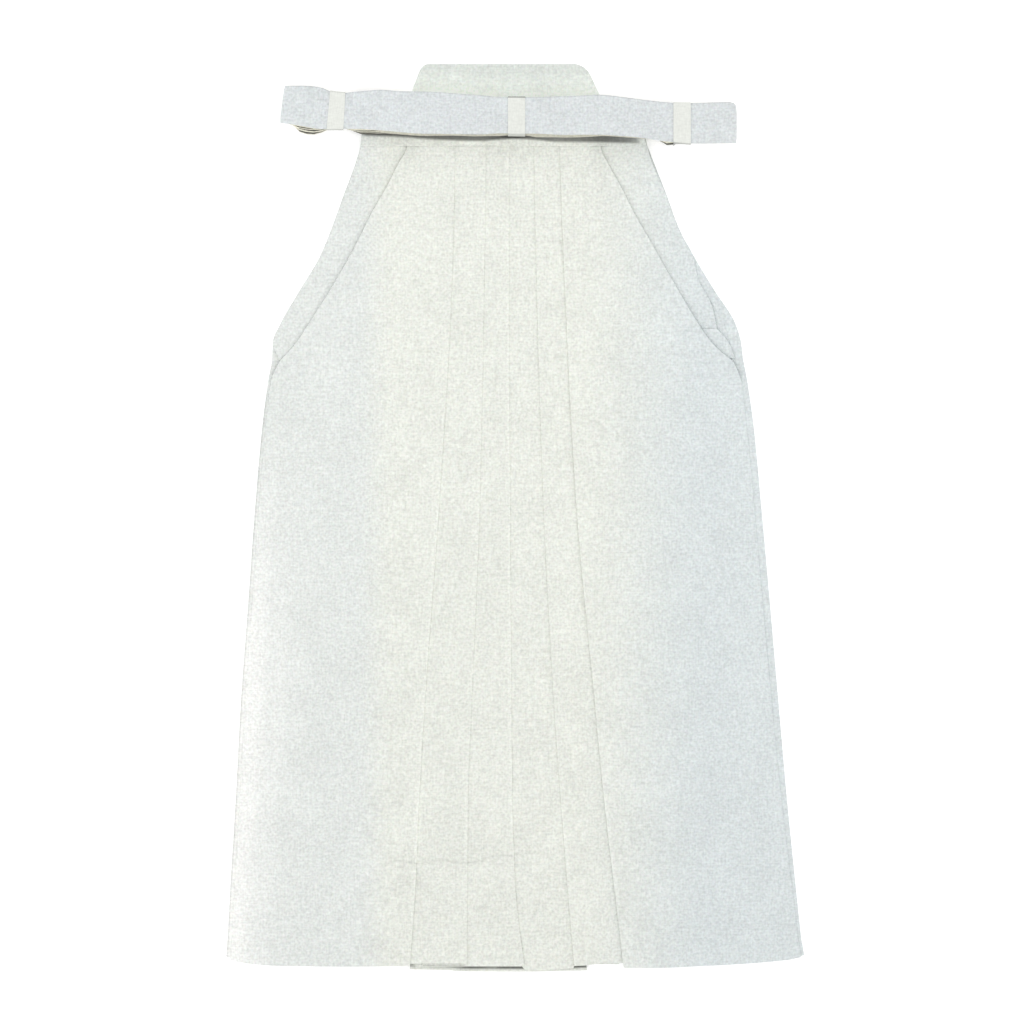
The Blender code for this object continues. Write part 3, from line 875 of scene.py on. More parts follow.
def arc(centre, z_top, z_low, direction, right_side, level, next_level, kind=MAIN, tag=0.0):
    """Inner points of a half-round fold from z_top to z_low that bulges along direction."""
    radius = (z_top - z_low) / 2
    points = []
    for i, angle in enumerate(BEND_ANGLES):
        x = centre + direction * abs(radius) * math.cos(angle)
        z = (z_top + z_low) / 2 + radius * math.sin(angle)
        level_here = mix(level, next_level, (i + 1) / (len(BEND_ANGLES) + 1))
        nx = right_side * direction * math.cos(angle)
        nz = right_side * math.sin(angle) * (1 if radius > 0 else -1)
        points.append((x, z, nx, nz, level_here, tag, kind))
    return points


def straight(start, end, count, height, face, level, tag=0.0):
    """Main points of a flat stretch, whose height is a value or a function of x."""
    xs = np.linspace(start, end, count)
    return [(x, height(x) if callable(height) else height, 0.0, face, level, tag, MAIN) for x in xs]


def fold_heights(leg, fold, level, base, down):
    """Height functions of the cloth at a fold edge: on top, and where it returns below."""
    inward = leg["inward"]
    tip = PLEATS.at(fold, down)
    reach = min(PRESS_REACH, PLEATS.at("depth", down) * PRESS_SHARE)
    fading = rise(FRONT_LENGTH - down, *PRESS_FADE)
    squeeze = SQUEEZE * PRESSED.at(fold, down) * mix(PRESS_AT_HEM, 1.0, fading)
    raised = RAISED.at(fold, down)
    under = layer_height(level - 1, down)

    def at_tip(x, share, drop):
        near = ease(1.0 - (tip - x) * inward / reach)
        return raised * share * bell(tip - x, RAISE_REACH) - drop * near

    def upper(x):
        return (base(x) if callable(base) else base) + at_tip(x, 1.0, 2 * squeeze)

    def lower(x):
        return under + at_tip(x, RETURN_SHARE, squeeze)

    return upper, lower


def front_path(leg, down):
    """Section of a pleated front from its side edge to its hidden end."""
    inward = leg["inward"]
    level = leg["top"]
    depth = PLEATS.at("depth", down)
    edge = front_edge(leg["side"], down)
    low = edge_height(down)
    crest = PLEATS.at(leg["folds"][0], down) - inward * (depth + DRAPE_START)
    foot = crest - inward * min(DRAPE_RUN, abs(crest - edge) * DRAPE_SHARE)

    def drape(x):
        return mix(low, layer_height(leg["top"], down), rise(x, foot, crest))

    points = turned_edge(edge, inward, low, level)
    points = [p if p[6] == TURNED_SIDE else (p[0], drape(p[0]), *p[2:]) for p in points]
    base = drape
    start = points[-1][0] + inward * FIRST_STEP
    count = OUTER_COUNT
    for fold in leg["folds"]:
        upper, lower = fold_heights(leg, fold, level, base, down)
        tip = PLEATS.at(fold, down)
        centre = tip - inward * ((upper(tip) - lower(tip)) / 2 + CLOTH / 2)
        points += straight(start, centre, count, upper, 1.0, level)
        points += arc(centre, upper(tip), lower(tip), inward, 1.0, level, level - 1)
        inner = tip - inward * depth
        if fold == leg["folds"][-1] and "strip" not in leg:
            points += straight(centre, inner, RETURN_COUNT, lower, -1.0, level - 1)
            return np.array(points)
        inner_centre = inner + inward * (PITCH / 2 + CLOTH / 2)
        points += straight(centre, inner_centre, RETURN_COUNT, lower, -1.0, level - 1)
        base = layer_height(level - 2, down)
        points += arc(inner_centre, lower(inner_centre), base, -inward, -1.0, level - 1, level - 2)
        level -= 2
        start = inner_centre
        count = PANEL_COUNT
    tip = PLEATS.at("p4", down)
    end = PLEATS.at("p3", down) - CENTRE_STRIP_UNDERLAP
    points += straight(start, tip + STRIP_STEP, RETURN_COUNT, base, 1.0, level)
    points += straight(tip - STRIP_STEP, end, PANEL_COUNT, base, 1.0, level)
    return np.array(points)


def front_hem(leg, x, level):
    """Distance down of the hem at one point of a front section."""
    if level == leg["top"]:
        return OUTER_HEM.at("down", x)
    if level == leg.get("strip") and x < PLEATS.at("p4", FRONT_LENGTH):
        return CENTRE_STRIP_HEM.at("down", x)
    if "strip" in leg and level == RIGHT_PANEL_LEVEL:
        return RIGHT_PANEL_HEM.at("down", x)
    return leg["hem"].at("down", level)


def panel_rows(top):
    """Rows of a long panel as (nominal down, distance from the hem or None, tag, turned)."""
    count = int(round((CREASED[0] - top) / ROW_STEP)) + 1
    downs = list(np.linspace(top, CREASED[0], count)[:-1])
    downs += list(np.arange(*CREASED, CREASED_STEP))
    downs += list(np.arange(CREASED[1], FRONT_LENGTH - HEM_STRETCH + 0.1, LOW_ROW_STEP))
    rows = [(down, None, 0.0, False) for down in downs]
    rows += [(FRONT_LENGTH - back, back, turned_tag(back), False) for back in HEM_DISTANCES]
    rows.append((FRONT_LENGTH - BEND_EDGE, BEND_EDGE, 1.0, False))
    rows += [(FRONT_LENGTH, BEND_EDGE - DOUBLE * math.cos(angle), math.sin(angle), True)
             for angle in BEND_ANGLES]
    rows += [(FRONT_LENGTH - back, back, -1.0, True) for back in TURNED_BACK]
    return rows


def placed(section, down, tag):
    """Points of a section at their places down, moved off the middle of the double cloth by their tag."""
    offset = DOUBLE * tag
    x = section[:, 0] + section[:, 2] * offset
    z = section[:, 1] + section[:, 3] * offset
    return np.stack((x, down, z), axis=-1)


def panel_grid(path, hem, top, base=0.0):
    """Grid of a long panel with a turned hem, and which of its points are used."""
    hems = np.array([hem(point[0], point[4]) for point in path(FRONT_LENGTH)])
    scale = (hems - (FRONT_LENGTH - HEM_STRETCH)) / HEM_STRETCH
    grid = []
    keep = []
    for nominal, back, row_tag, turned in panel_rows(top):
        section = path(nominal)
        tags = section[:, 5]
        kinds = section[:, 6]
        down = np.full(len(section), nominal)
        if back is not None:
            down = hems - back * (1.0 if turned else scale)
        if turned:
            tag = np.full(len(section), row_tag)
        else:
            plain = 1.0 if base else np.maximum(tags, row_tag)
            tag = np.where(kinds == TURNED_SIDE, tags, plain)
        grid.append(placed(section, down, tag + base))
        used = np.ones(len(section), bool)
        if back is not None and back < TURNED + HEM_CLEARANCE:
            used &= kinds != TURNED_SIDE
        if turned:
            used &= kinds != ROUND_SIDE
        keep.append(used)
    return np.array(grid), np.array(keep)


def back_return(side, down):
    """Height and width of the part of the back that is folded over to the front, under the seam."""
    width = mix(TURNED, BACK_PEEK.at(side, down) + SEAM_TUCK, rise(down, *RETURN_NARROWS))
    under_front = edge_height(down) - DOUBLE - CLOTH - LAYER_GAP
    height = mix(FLOOR_LAYER + 2 * DOUBLE, under_front, rise(down, *RETURN_RISES))
    return height, width


def back_path(side, down):
    """Section of a back panel from the part folded over to the front to the centre back."""
    inward = -outward(side)
    contour = SIDE_EDGES.at(side, down)
    height, width = back_return(side, down)
    centre = contour + inward * ((height - FLOOR_LAYER) / 2 + CLOTH / 2)
    room = width - SEAM_TUCK
    points = [(contour + inward * d, height, 0.0, 1.0, 0, 1.0, ROUND_SIDE)
              for d in (width, room + 0.3, room - 0.8, min(room * 0.7, 2.4), min(room * 0.5, 1.6), 1.0)]
    points += arc(centre, height, FLOOR_LAYER, -inward, 1.0, 0, 0, ROUND_SIDE, 1.0)
    if side == "left":
        end = BACK_LAP["left_end"] - BEND_EDGE
        high = FLOOR_LAYER + 2 * DOUBLE
        points += straight(centre, end, BACK_COUNTS[side], FLOOR_LAYER, -1.0, 0, 1.0)
        points += arc(end, FLOOR_LAYER, high, 1, 1.0, 0, 0, TURNED_SIDE, 1.0)
        points += [(end - d, high, 0.0, 1.0, 0, 1.0, TURNED_SIDE) for d in LAP_FLAP]
        return np.array(points)
    low = BACK_LAP["ramp_low"] + BACK_LAP_STEP
    high = BACK_LAP["ramp_high"]
    raised = FLOOR_LAYER + PITCH

    def climb(x):
        return mix(FLOOR_LAYER, raised, rise(x, low, high))

    points += straight(centre, low, BACK_COUNTS[side], FLOOR_LAYER, -1.0, 0, 1.0)
    points += straight(low - BACK_LAP_STEP / 2, high, BACK_COUNTS["ramp"], climb, -1.0, 0, 1.0)
    end = BACK_LAP["right_end"]
    points += straight(high - BACK_LAP_STEP, end, BACK_COUNTS["raised"], raised, -1.0, 0, 1.0)
    return np.array(points)


def back_hem(x, level):
    """Hem of the back panels, a little shorter than the front."""
    return min(OUTER_HEM.at("down", x), BACK_HEM) - BACK_HEM_RISE


def fitted(points, edge, room):
    """Draw the points of a turned edge together where a piece is narrow."""
    share = min(1.0, room / max(EDGE_DISTANCES))
    return [(edge + (p[0] - edge) * (share if abs(p[0] - edge) > BEND_EDGE + 0.1 else 1.0), *p[1:])
            for p in points]


def gusset_path(down):
    """Section of the gusset, whose left and right edges are folded under."""
    left = GUSSET.at("left", down)
    right = GUSSET.at("right", down)
    z = layer_height(GUSSET_LEVEL, down)
    room = (right - left) * GUSSET_EDGE_SHARE
    near = fitted(turned_edge(left, 1, z, GUSSET_LEVEL), left, room)
    far = fitted(turned_edge(right, -1, z, GUSSET_LEVEL), right, room)
    middle = straight(near[-1][0], far[-1][0], GUSSET_COUNT, z, 1.0, GUSSET_LEVEL)[1:-1]
    return np.array(near + middle + far[::-1])


def gusset_hem(x, level):
    """Hem of the gusset, the lowest of all in the middle."""
    return GUSSET_HEM.at("down", x)


def leaf_path(side, outer_edge, down):
    """Section of a leaf fold from its folded outer edge to its end under the front."""
    outer = outer_edge(down)
    inner = OPENING_EDGES.at(side, down) - outward(side) * LEAF_UNDERLAP
    z = layer_height(LEAF_LEVEL, down)
    room = abs(inner - outer) * LEAF_EDGE_SHARE
    points = fitted(turned_edge(outer, -outward(side), z, LEAF_LEVEL), outer, room)
    return np.array(points + straight(points[-1][0], inner, LEAF_COUNT, z, 1.0, LEAF_LEVEL)[1:])


# The panels

def gusset_shade(grid):
    """Deep painted shade on the gusset in the narrow slot under the hems of the folded layers, and painted
    light where it is below zero.
    """
    x, down = grid[..., 0], grid[..., 1]
    return HEM_SHADE.at("depth", x) * rise(GUSSET_HEM.at("down", x) - down, *HEM_SHADE_AT)


def left_rim_shade(grid):
    """Painted shade in thin lines along the outer fold of the left side and in its seam."""
    x, down = grid[..., 0], grid[..., 1]
    inside = x - SIDE_EDGES.at("left", down)
    rim = LEFT_RIM_SHADE * (1.0 - rise(inside, *LEFT_RIM_AT))
    seam = LEFT_SEAM_SHADE * (inside > BACK_PEEK.at("left", down) - 0.3)
    return rise(down, SEAM_START, SEAM_START + RIM_SHADE_FADE) * (rim + seam) * (inside < TURNED)


def front_shade(leg, grid):
    """Painted shade in the creases, less the painted highlight along the fold edges of a front."""
    x, down = grid[..., 0], grid[..., 1]
    rims = np.zeros(x.shape)
    for fold in leg["folds"]:
        near = 1.0 - ease(np.abs(x - PLEATS.at(fold, down)) / FOLD_LIGHT_WIDTH)
        rims += FOLD_LIGHT.at(fold, down) * near
    return crease_shade(grid) - rims


def left_front_shade(leg, grid):
    """The same, with painted shade on the hems that show between the first and second fold edges."""
    x, down, z = grid[..., 0], grid[..., 1], grid[..., 2]
    from_hem = down.max(axis=0) - down
    left, right = FOLD_HEM_SHADE_SPAN
    under = (z < layer_height(6, FRONT_LENGTH) + 0.25) & (x > left) & (x < right) & (from_hem < 6.0)
    return front_shade(leg, grid) + FOLD_HEM_SHADE * under * rise(from_hem, *FOLD_HEM_SHADE_AT)


def make_panel(name, path, hem, top, material, base=0.0, shade=None):
    """One long panel as a thin shell with turned edges, which replaces its solid."""
    grid, keep = panel_grid(path, hem, top, base)
    shades = shade(grid) if shade else None
    grid = settle(grid)
    item = cloth_from_grid(name + "_cloth", grid, CLOTH, keep, shades)
    finish_piece(item, material, "body_cotton", name)
    return grid


def make_panels(material):
    """Backs, gusset and fronts, from the floor up. Returns the grids of the fronts."""
    for side, shade in (("left", left_rim_shade), ("right", None)):
        make_panel("back_" + side, partial(back_path, side), back_hem, BACK_TOP, material, -1.0, shade=shade)
    make_panel("gusset", gusset_path, gusset_hem, GUSSET_TOP, material,
               shade=gusset_shade)
    return [make_panel("front_" + leg["side"], partial(front_path, leg), partial(front_hem, leg),
                       FRONT_TOP, material,
                       shade=partial(shade, leg))
            for leg, shade in ((LEFT_LEG, left_front_shade), (RIGHT_LEG, front_shade))]


def left_leaf_edge(down):
    """Outer edge of the left leaf fold, which ends in a blunt tip."""
    return mix(SIDE_EDGES.at("left", down) + LEAF_INSET, LEFT_LEAF_TIP, rise(down, *LEFT_LEAF_TIP_ROUND))


def make_leaf(name, side, downs, outer_edge, material):
    """One leaf fold in a side opening."""
    sections = [(leaf_path(side, outer_edge, down), down) for down in downs]
    grid = settle(np.array([placed(part, np.full(len(part), down), part[:, 5]) for part, down in sections]))
    item = cloth_from_grid(name + "_cloth", grid, CLOTH)
    finish_piece(item, material, "body_cotton", name)


def make_leaves(material):
    """Leaf folds at both side openings, and the small strip below the right one."""
    left_downs = np.concatenate((np.linspace(-30, 214, 50), np.linspace(217, 234, 8)))
    make_leaf("leaf_fold_left", "left", left_downs, left_leaf_edge, material)
    right_edge = partial(RIGHT_LEAF_EDGE.at, "x")
    make_leaf("leaf_fold_right", "right", np.linspace(-30, 200, 47), right_edge, material)
    tip_edge = partial(RIGHT_TIP_EDGE.at, "x")
    make_leaf("leaf_tip_right", "right", np.linspace(200.4, 232, 12), tip_edge, material)


def stack_top(xs):
    """Highest mid-line of the front layers at the waist, for an array of x."""
    height = np.full(len(xs), layer_height(LEAF_LEVEL, 0.0))
    for leg in (LEFT_LEG, RIGHT_LEG):
        path = front_path(leg, 0.0)
        for (xa, za), (xb, zb) in zip(path[:-1, :2], path[1:, :2]):
            low, high = min(xa, xb), max(xa, xb)
            if high - low > 1e-6:
                here = (xs >= low) & (xs <= high)
                value = mix(za, zb, (xs - xa) / (xb - xa))
                height = np.where(here, np.maximum(height, value), height)
    return height


def waistband_heights(xs):
    """Soft line over the pleats, clear of everything within reach."""
    fine = np.arange(xs[0] - 20.0, xs[-1] + 20.0, BAND_FINE_STEP)
    top = stack_top(fine)
    window = int(BAND_REACH / BAND_FINE_STEP)
    wide = np.array([top[max(i - window, 0):i + window + 1].max() for i in range(len(fine))])
    box = window * 2 - 3
    soft = np.convolve(np.pad(wide, box // 2, mode="edge"), np.ones(box) / box, mode="valid")
    return np.interp(xs, fine[:len(soft)], soft) + PITCH + 0.05


def waistband_row(x, top):
    """Section of the waistband at x as (down, z, shade), from its turned lower edge round to the back."""
    edge = BAND_LOWER_EDGE + ripple(x, (0.25, 31.0, 0.0))
    # Painted shade under the bundle, and painted light below it
    limit = BUNDLE_SHADE.at("edge", x)
    dark = BUNDLE_SHADE.at("depth", x)
    glow = -BUNDLE_SHADE_GLOW * ease((72.0 - abs(x + 6.0)) / 30.0)
    puff = ripple(x, (0.06, 9.0, 0.0), (0.05, 4.1, 1.0))
    bottom = BOARD_LIFT + CLOTH
    fold = BAND_UPPER_EDGE + BAND_FOLD_INSET
    row = [(edge - d, top - 2 * DOUBLE, 0.0) for d in BAND_FLAP]
    row += [(edge - BEND_EDGE + DOUBLE * math.cos(angle), top - DOUBLE + DOUBLE * math.sin(angle), 0.0)
            for angle in BEND_ANGLES[::-1]]
    row += [(edge - BEND_EDGE, top, 0.0), (edge - 1.2, top + 0.02, glow),
            (limit + 1.2, top + 0.1 + puff, glow), (limit - 0.4, top + 0.12, dark * 0.6),
            (limit - 1.6, top, dark), (limit - 4.0, top, dark),
            (-12.0, top, dark), (-20.0, top, dark * 0.5), (fold + 6.0, top, 0.0), (fold, top, 0.0)]
    middle = (top + bottom) / 2
    radius = (top - bottom) / 2
    row += [(fold - BAND_FOLD_REACH * math.cos(angle), middle + radius * math.sin(angle), 0.0)
            for angle in BEND_ANGLES]
    return row + [(down, bottom, 0.0) for down in (fold, fold + 17.0, edge - 1.0)]


def make_waistband(material):
    """The front waistband, folded over the top edge of the front, with both edges turned in."""
    xs = np.arange(BAND_LEFT, BAND_RIGHT + 0.1, BAND_STEP)
    rows = []
    shades = []
    for x, top in zip(xs, waistband_heights(xs)):
        slant = mix(*BAND_SLANT, (x - BAND_LEFT) / (BAND_RIGHT - BAND_LEFT))
        row = waistband_row(x, top)
        rows.append([(x + slant * min(max(BAND_LOWER_EDGE - down, 0.0), 15.0), down, z)
                     for down, z, _ in row])
        shades.append([shade for _, _, shade in row])
    grid = np.array(rows)
    item = cloth_from_grid("front_waistband_cloth", grid, CLOTH, shade=shades)
    finish_piece(item, material, "body_cotton", "front_waistband")
    return grid


# The back board

def rounded_end(down, corner):
    """How far an upper corner of the board draws its slanting side in."""
    depth = np.clip((BOARD_COVER_TOP + corner - down) / corner, 0.0, 1.0)
    return corner * (1.0 - np.sqrt(1.0 - depth ** 2))


def with_edges(start, end, count):
    """Places from start to end, close together near both, where the cloth bends."""
    middle = np.linspace(start + 8, end - 8, count)
    return [start + d for d in BOARD_EDGE_ROWS] + list(middle) + [end - d for d in BOARD_EDGE_ROWS[::-1]]


def board_height(x, inside):
    """Height of the board's upper side and how far its edge drops, at a distance inside the edge."""
    drop = BOARD_ROUND - math.sqrt(max(BOARD_ROUND ** 2 - max(BOARD_ROUND - inside, 0.0) ** 2, 0.0))
    seam = BOARD_SEAM_DEPTH * bell(inside - BOARD_SEAM_AT, BOARD_SEAM_WIDTH)
    crown = BOARD_CROWN * rise(inside, *BOARD_CROWN_AT)
    pull = ripple(x, (BOARD_PULL, BOARD_PULL_LENGTH, 0.0)) * rise(inside, 12.0, 2.0) * rise(inside, 1.5, 3.5)
    return BOARD_FACE - drop - seam + crown + pull, drop


def make_board(material):
    """The stiff back board: cloth drawn over it, soft edges, and a seam line just inside them."""
    shades = []
    upper = []
    lower = []
    for down in with_edges(BOARD_COVER_TOP, BOARD_BOTTOM, BOARD_ROWS):
        share = (down - BOARD_COVER_TOP) / (BOARD_BOTTOM - BOARD_COVER_TOP)
        left = mix(*BOARD_LEFT, share) + rounded_end(down, BOARD_CORNER[0]) * 0.9
        right = mix(*BOARD_RIGHT, share) - rounded_end(down, BOARD_CORNER[1]) * 1.1
        xs = with_edges(left, right, BOARD_COLUMNS)
        for x in xs:
            inside = min(x - left, right - x, down - BOARD_COVER_TOP, BOARD_BOTTOM - down)
            top, drop = board_height(x, inside)
            # Painted shade along the rim, and the painted light and shade that change with the height above
            # the bundle
            painted_rim_shade = RIM_SHADE * (1.0 - ease((inside - 0.4) / 0.9))
            shades.append(painted_rim_shade + BOARD_SHADE.at("shade", BUNDLE.at("upper", x) - down))
            upper.append((x, down, top))
            lower.append((x, down, BOARD_UNDER + drop))
    columns = len(xs)
    shift = len(upper)
    rows = shift // columns
    faces = [f[::-1] for f in grid_faces(rows, columns)]
    faces += [tuple(i + shift for i in f) for f in grid_faces(rows, columns)]
    rim = list(range(columns)) + [r * columns + columns - 1 for r in range(1, rows)]
    rim += [(rows - 1) * columns + c for c in range(columns - 2, -1, -1)]
    rim += [r * columns for r in range(rows - 2, 0, -1)]
    faces += [(a, b, b + shift, a + shift) for a, b in zip(rim, rim[1:] + rim[:1])]
    item = mesh_object("back_board_cloth", upper + lower, faces)
    set_shade(item, shades + shades)
    finish_piece(item, material, "board_cotton", "back_board")


# The folded ties

def fan_shade(x):
    """How dark the painted shade is in the slots between the loose layers at the bundle's lower edge."""
    return max(dark * ease((x - left) / FAN_FADE) * ease((right - x) / FAN_FADE)
               for left, right, dark in FANNED)


def lean(x, down):
    """Shift of a bundle section that leans with the slant of the bundle's left end."""
    middle = (BUNDLE.at("upper", x) + BUNDLE.at("lower", x)) / 2
    return -BUNDLE_LEAN.at("lean", x) * (down - middle)


def tie_profile(thickness, slit):
    """Closed outline of a tie's section: (share across from the lower edge, height, reach, slot shade)."""
    half = thickness / 2
    near = [(0.0, -half * 0.9, -0.35, 0), (0.0, -half * 0.55, 0.0, 0), (0.0, -0.06, 0.02, 0),
            (0.0, 0.0, -slit, 0)]
    near += [(0.0, -height, reach, 0) for _, height, reach, _ in near[-2::-1]]
    top = [(0.0, half, -0.7, 0), (0.0, half, -0.95, 1), (0.0, half, -2.6, 1)]
    top += [(share, half, 0.0, 0) for share in (0.12, 0.3, 0.5, 0.7, 0.88)]
    top += [(1.0, half, -1.4, 0), (1.0, half, -0.7, RIM)]
    far = [(1.0, half * 0.9, -0.35, RIM), (1.0, half * 0.5, 0.0, RIM), (1.0, -half * 0.5, 0.0, RIM),
           (1.0, -half * 0.9, -0.35, 0)]
    low = [(share, -half, 0.0, 0) for share in (0.96, 0.88, 0.7, 0.5, 0.3, 0.12)]
    low += [(0.0, -half, -2.6, 1), (0.0, -half, -0.95, 1), (0.0, -half, -0.7, 0)]
    return near + top + far + low


def sweep_tie(name, stations, thickness, slit, material, crown=0.0):
    """A tie along stations of (x, z, direction x, direction z, lower edge, upper edge, painted slot shade,
    painted shade).
    """
    profile = tie_profile(thickness, slit)
    rings = []
    shades = []
    for x, z, dx, dz, lower, upper, dark, base in stations:
        ring = []
        for share, height, reach, slot in profile:
            down = mix(lower, upper, share)
            if share == 0.0:
                down = lower + reach
            if share == 1.0:
                down = upper - reach
            up = height + crown * (1 - (2 * share - 1) ** 4)
            ring.append((x - dz * up + lean(x, down), down, z + dx * up))
            shades.append(RIM_SHADE if slot == RIM else max(mix(-FAN_LIGHT, 1.0, slot) * dark, base))
        rings.append(ring)
    rows, columns = len(rings), len(profile)
    faces = grid_faces(rows, columns, closed=True)
    faces.append(tuple(range(columns)))
    faces.append(tuple((rows - 1) * columns + c for c in range(columns))[::-1])
    item = mesh_object(name, np.array(rings).reshape(-1, 3), faces, 40.0)
    set_shade(item, shades)
    work = bmesh.new()
    work.from_mesh(item.data)
    bmesh.ops.recalc_face_normals(work, faces=work.faces)
    work.to_mesh(item.data)
    work.free()
    return finish_piece(item, material, "tie_cotton")


def pinch(x):
    """How far the paper bands press the ties down near them, from 0 to 1."""
    return min(sum(bell(x - (left + right) / 2, PINCH_REACH) for _, left, right, _, _ in PAPER_BANDS), 1.0)


def loose_at(x, layer):
    """How far a layer's lower edge hangs out at x; the layers fan out at staggered places but at a band."""
    stagger = FAN_STAGGER * (1.0 - 0.8 * pinch(x))
    return BUNDLE.at("loose", x - stagger * (FANNED_LAYERS / 2 - layer))


def tie_station(layer, x, direction):
    """Station of one hidden layer of the ties at x."""
    z = BUNDLE.at("under", x) + TIE_PITCH * (layer + 0.5)
    wobble = ripple(x, (0.25, 23.0, layer * 1.9), (0.18, 9.0, layer * 2.7))
    lower = BUNDLE.at("lower", x) - CORE_INSET + loose_at(x, layer) * LOOSE_SHARE.at("share", layer)
    lower += (TIE_ENDS.at("near", layer) * 0.5 + wobble) * (1.0 - 0.8 * pinch(x))
    upper = BUNDLE.at("upper", x) + CORE_INSET + 0.5 * wobble + TIE_ENDS.at("far", layer) * 0.4
    dark = fan_shade(x) if layer < FANNED_LAYERS else 0.0
    base = UNDER_SHADE.at("depth", x) if layer < UNDER_SHADE_LAYERS else -FAN_LIGHT
    return x, z, direction, 0.0, lower, upper, dark, base


def make_folded_ties(material):
    """The hidden ties, folded to and fro in layers that show at the edges."""
    left_end, right_end = BUNDLE_ENDS
    stations = []
    for layer in range(TIE_LAYERS):
        first = left_end + TIE_ENDS.at("left", layer)
        last = right_end - TIE_ENDS.at("right", layer)
        direction = 1 if layer % 2 == 0 else -1
        xs = np.linspace(first, last, TIE_COUNT)[::direction]
        stations += [tie_station(layer, x, direction) for x in xs]
        if layer == TIE_LAYERS - 1:
            break
        x, z, _, _, lower, upper, _, _ = stations[-1]
        radius = TIE_PITCH / 2
        for angle in TURN_ANGLES:
            stations.append((x + direction * radius * math.cos(angle), z + radius + radius * math.sin(angle),
                             -direction * math.sin(angle), math.cos(angle), lower, upper, 0.0, 0.0))
    item = sweep_tie("folded_ties", stations, TIE_LAYER, TIE_SLIT, material)
    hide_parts("tie_bundle_core")


def top_height(x):
    """Height of the uppermost stretch of tie."""
    swell = ripple(x, (0.18, 37.0, 0.7), (0.1, 17.0, 0.0)) * (1 - pinch(x))
    return BUNDLE.at("under", x) + BUNDLE_CORE_HEIGHT + TOP_TIE_LIFT - 0.35 * pinch(x) + swell


def top_edges(x):
    """Lower and upper edge of the uppermost tie, whose upper right corner is round, and its plain shades."""
    soft = ripple(x, (0.15, 21.0, 0.0), (0.1, 8.3, 2.0))
    past = min(max((x - (BUNDLE_ENDS[1] + TOP_TIE_CORNER - END_ROUND)) / END_ROUND, 0.0), 1.0)
    rounding = END_ROUND * (1.0 - math.sqrt(1.0 - past ** 2))
    return BUNDLE.at("lower", x) + soft, BUNDLE.at("upper", x) - 0.5 * soft + rounding, 0.0, 0.0


def top_end(end, sign):
    """Stations where the uppermost tie comes up from the floor and bends over an end of the bundle."""
    z = top_height(end) - TOP_TIE_CORNER
    drops = np.linspace(TOP_TIE_DROP - TOP_TIE_CORNER, 0.0, 5)
    places = [(end + sign * TOP_TIE_CORNER, z - drop, 0.0, -1.0) for drop in drops]
    for angle in TURN_ANGLES[4:]:
        places.append((end + sign * TOP_TIE_CORNER * math.cos(angle), z + TOP_TIE_CORNER * math.sin(angle),
                       math.sin(angle), -math.cos(angle)))
    return [(x, up, dx, sign * dz, *top_edges(x)) for x, up, dx, dz in places]


def make_top_tie(material):
    """The uppermost stretch of tie, which turns down over both ends of the bundle."""
    middle = []
    for x in np.linspace(*BUNDLE_ENDS, TOP_TIE_COUNT):
        slope = (top_height(x + 1.0) - top_height(x - 1.0)) / 2.0
        size = math.hypot(1.0, slope)
        middle.append((x, top_height(x), 1.0 / size, slope / size, *top_edges(x)))
    stations = top_end(BUNDLE_ENDS[0], -1) + middle + top_end(BUNDLE_ENDS[1], 1)[::-1]
    item = sweep_tie("top_tie", stations, TOP_TIE_THICKNESS, TOP_TIE_SLIT, material, TOP_TIE_CROWN)
    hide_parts("tie_bundle_top")


def band_ring(x, top_shade, low_shade):
    """Outline of a paper band round the bundle, as (down, z, shade), lapped underneath."""
    loose = max(loose_at(x, layer) for layer in range(FANNED_LAYERS))
    lower = BUNDLE.at("lower", x) + PAPER_OFF_LOWER
    wide = lower + max(loose - CORE_INSET, 0.0) + PAPER_OFF_LOOSE
    upper = BUNDLE.at("upper", x) - PAPER_OFF_UPPER
    bottom = BUNDLE.at("under", x) - PAPER_OFF_UNDER
    top = BUNDLE.at("under", x) + BUNDLE_CORE_HEIGHT + TOP_TIE_LIFT + 0.85 + TOP_TIE_CROWN + 0.1
    corner = PAPER_CORNER
    middle = (lower + upper) / 2
    outline = [(middle + 7.0, bottom, 0.0), (wide - corner, bottom, 0.0)]
    corners = ((wide - corner, bottom + corner, -90, low_shade), (lower - corner, top - corner, 0, low_shade),
               (upper + corner, top - corner, 90, top_shade), (upper + corner, bottom + corner, 180, 0.0))
    for centre_down, centre_z, start, shade in corners:
        for step in range(5):
            angle = math.radians(start + 22.5 * step)
            dark = shade * (1.0 - step / 4 if start == 0 else 1.0)
            place = (centre_down + corner * math.cos(angle), centre_z + corner * math.sin(angle))
            outline.append((*place, dark))
        if start == 0:
            outline += [(mix(lower, upper, share), top + 0.1, 0.0) for share in (0.2, 0.4, 0.6, 0.8)]
            outline.append((upper + corner + 0.3, top, 0.0))
    outline += [(middle, bottom - PAPER_LAP / 2, 0.0), (middle + 3.0, bottom - PAPER_LAP, 0.0),
                (middle + 13.0, bottom - PAPER_LAP, 0.0)]
    return outline


def make_paper_band(name, left, right, top_shade, low_shade, material):
    """One bare paper band, with its lapped ends underneath."""
    rows = []
    shades = []
    for x in np.linspace(left + 0.2, right - 0.2, PAPER_COUNT):
        edge = abs(2 * (x - left) / (right - left) - 1)
        swell = PAPER_SWELL * (1 - edge ** 6)
        ring = band_ring(x, top_shade, low_shade)
        rows.append([(x + lean(x, down), down, z + (swell if z > 6.0 else 0.0)) for down, z, _ in ring])
        shades.append([shade for _, _, shade in ring])
    node = "paper_band_" + name
    item = cloth_from_grid(node + "_paper", np.array(rows), PAPER, shade=shades, smooth_angle=60.0)
    finish_piece(item, material, "band_paper", node)


# Stitches

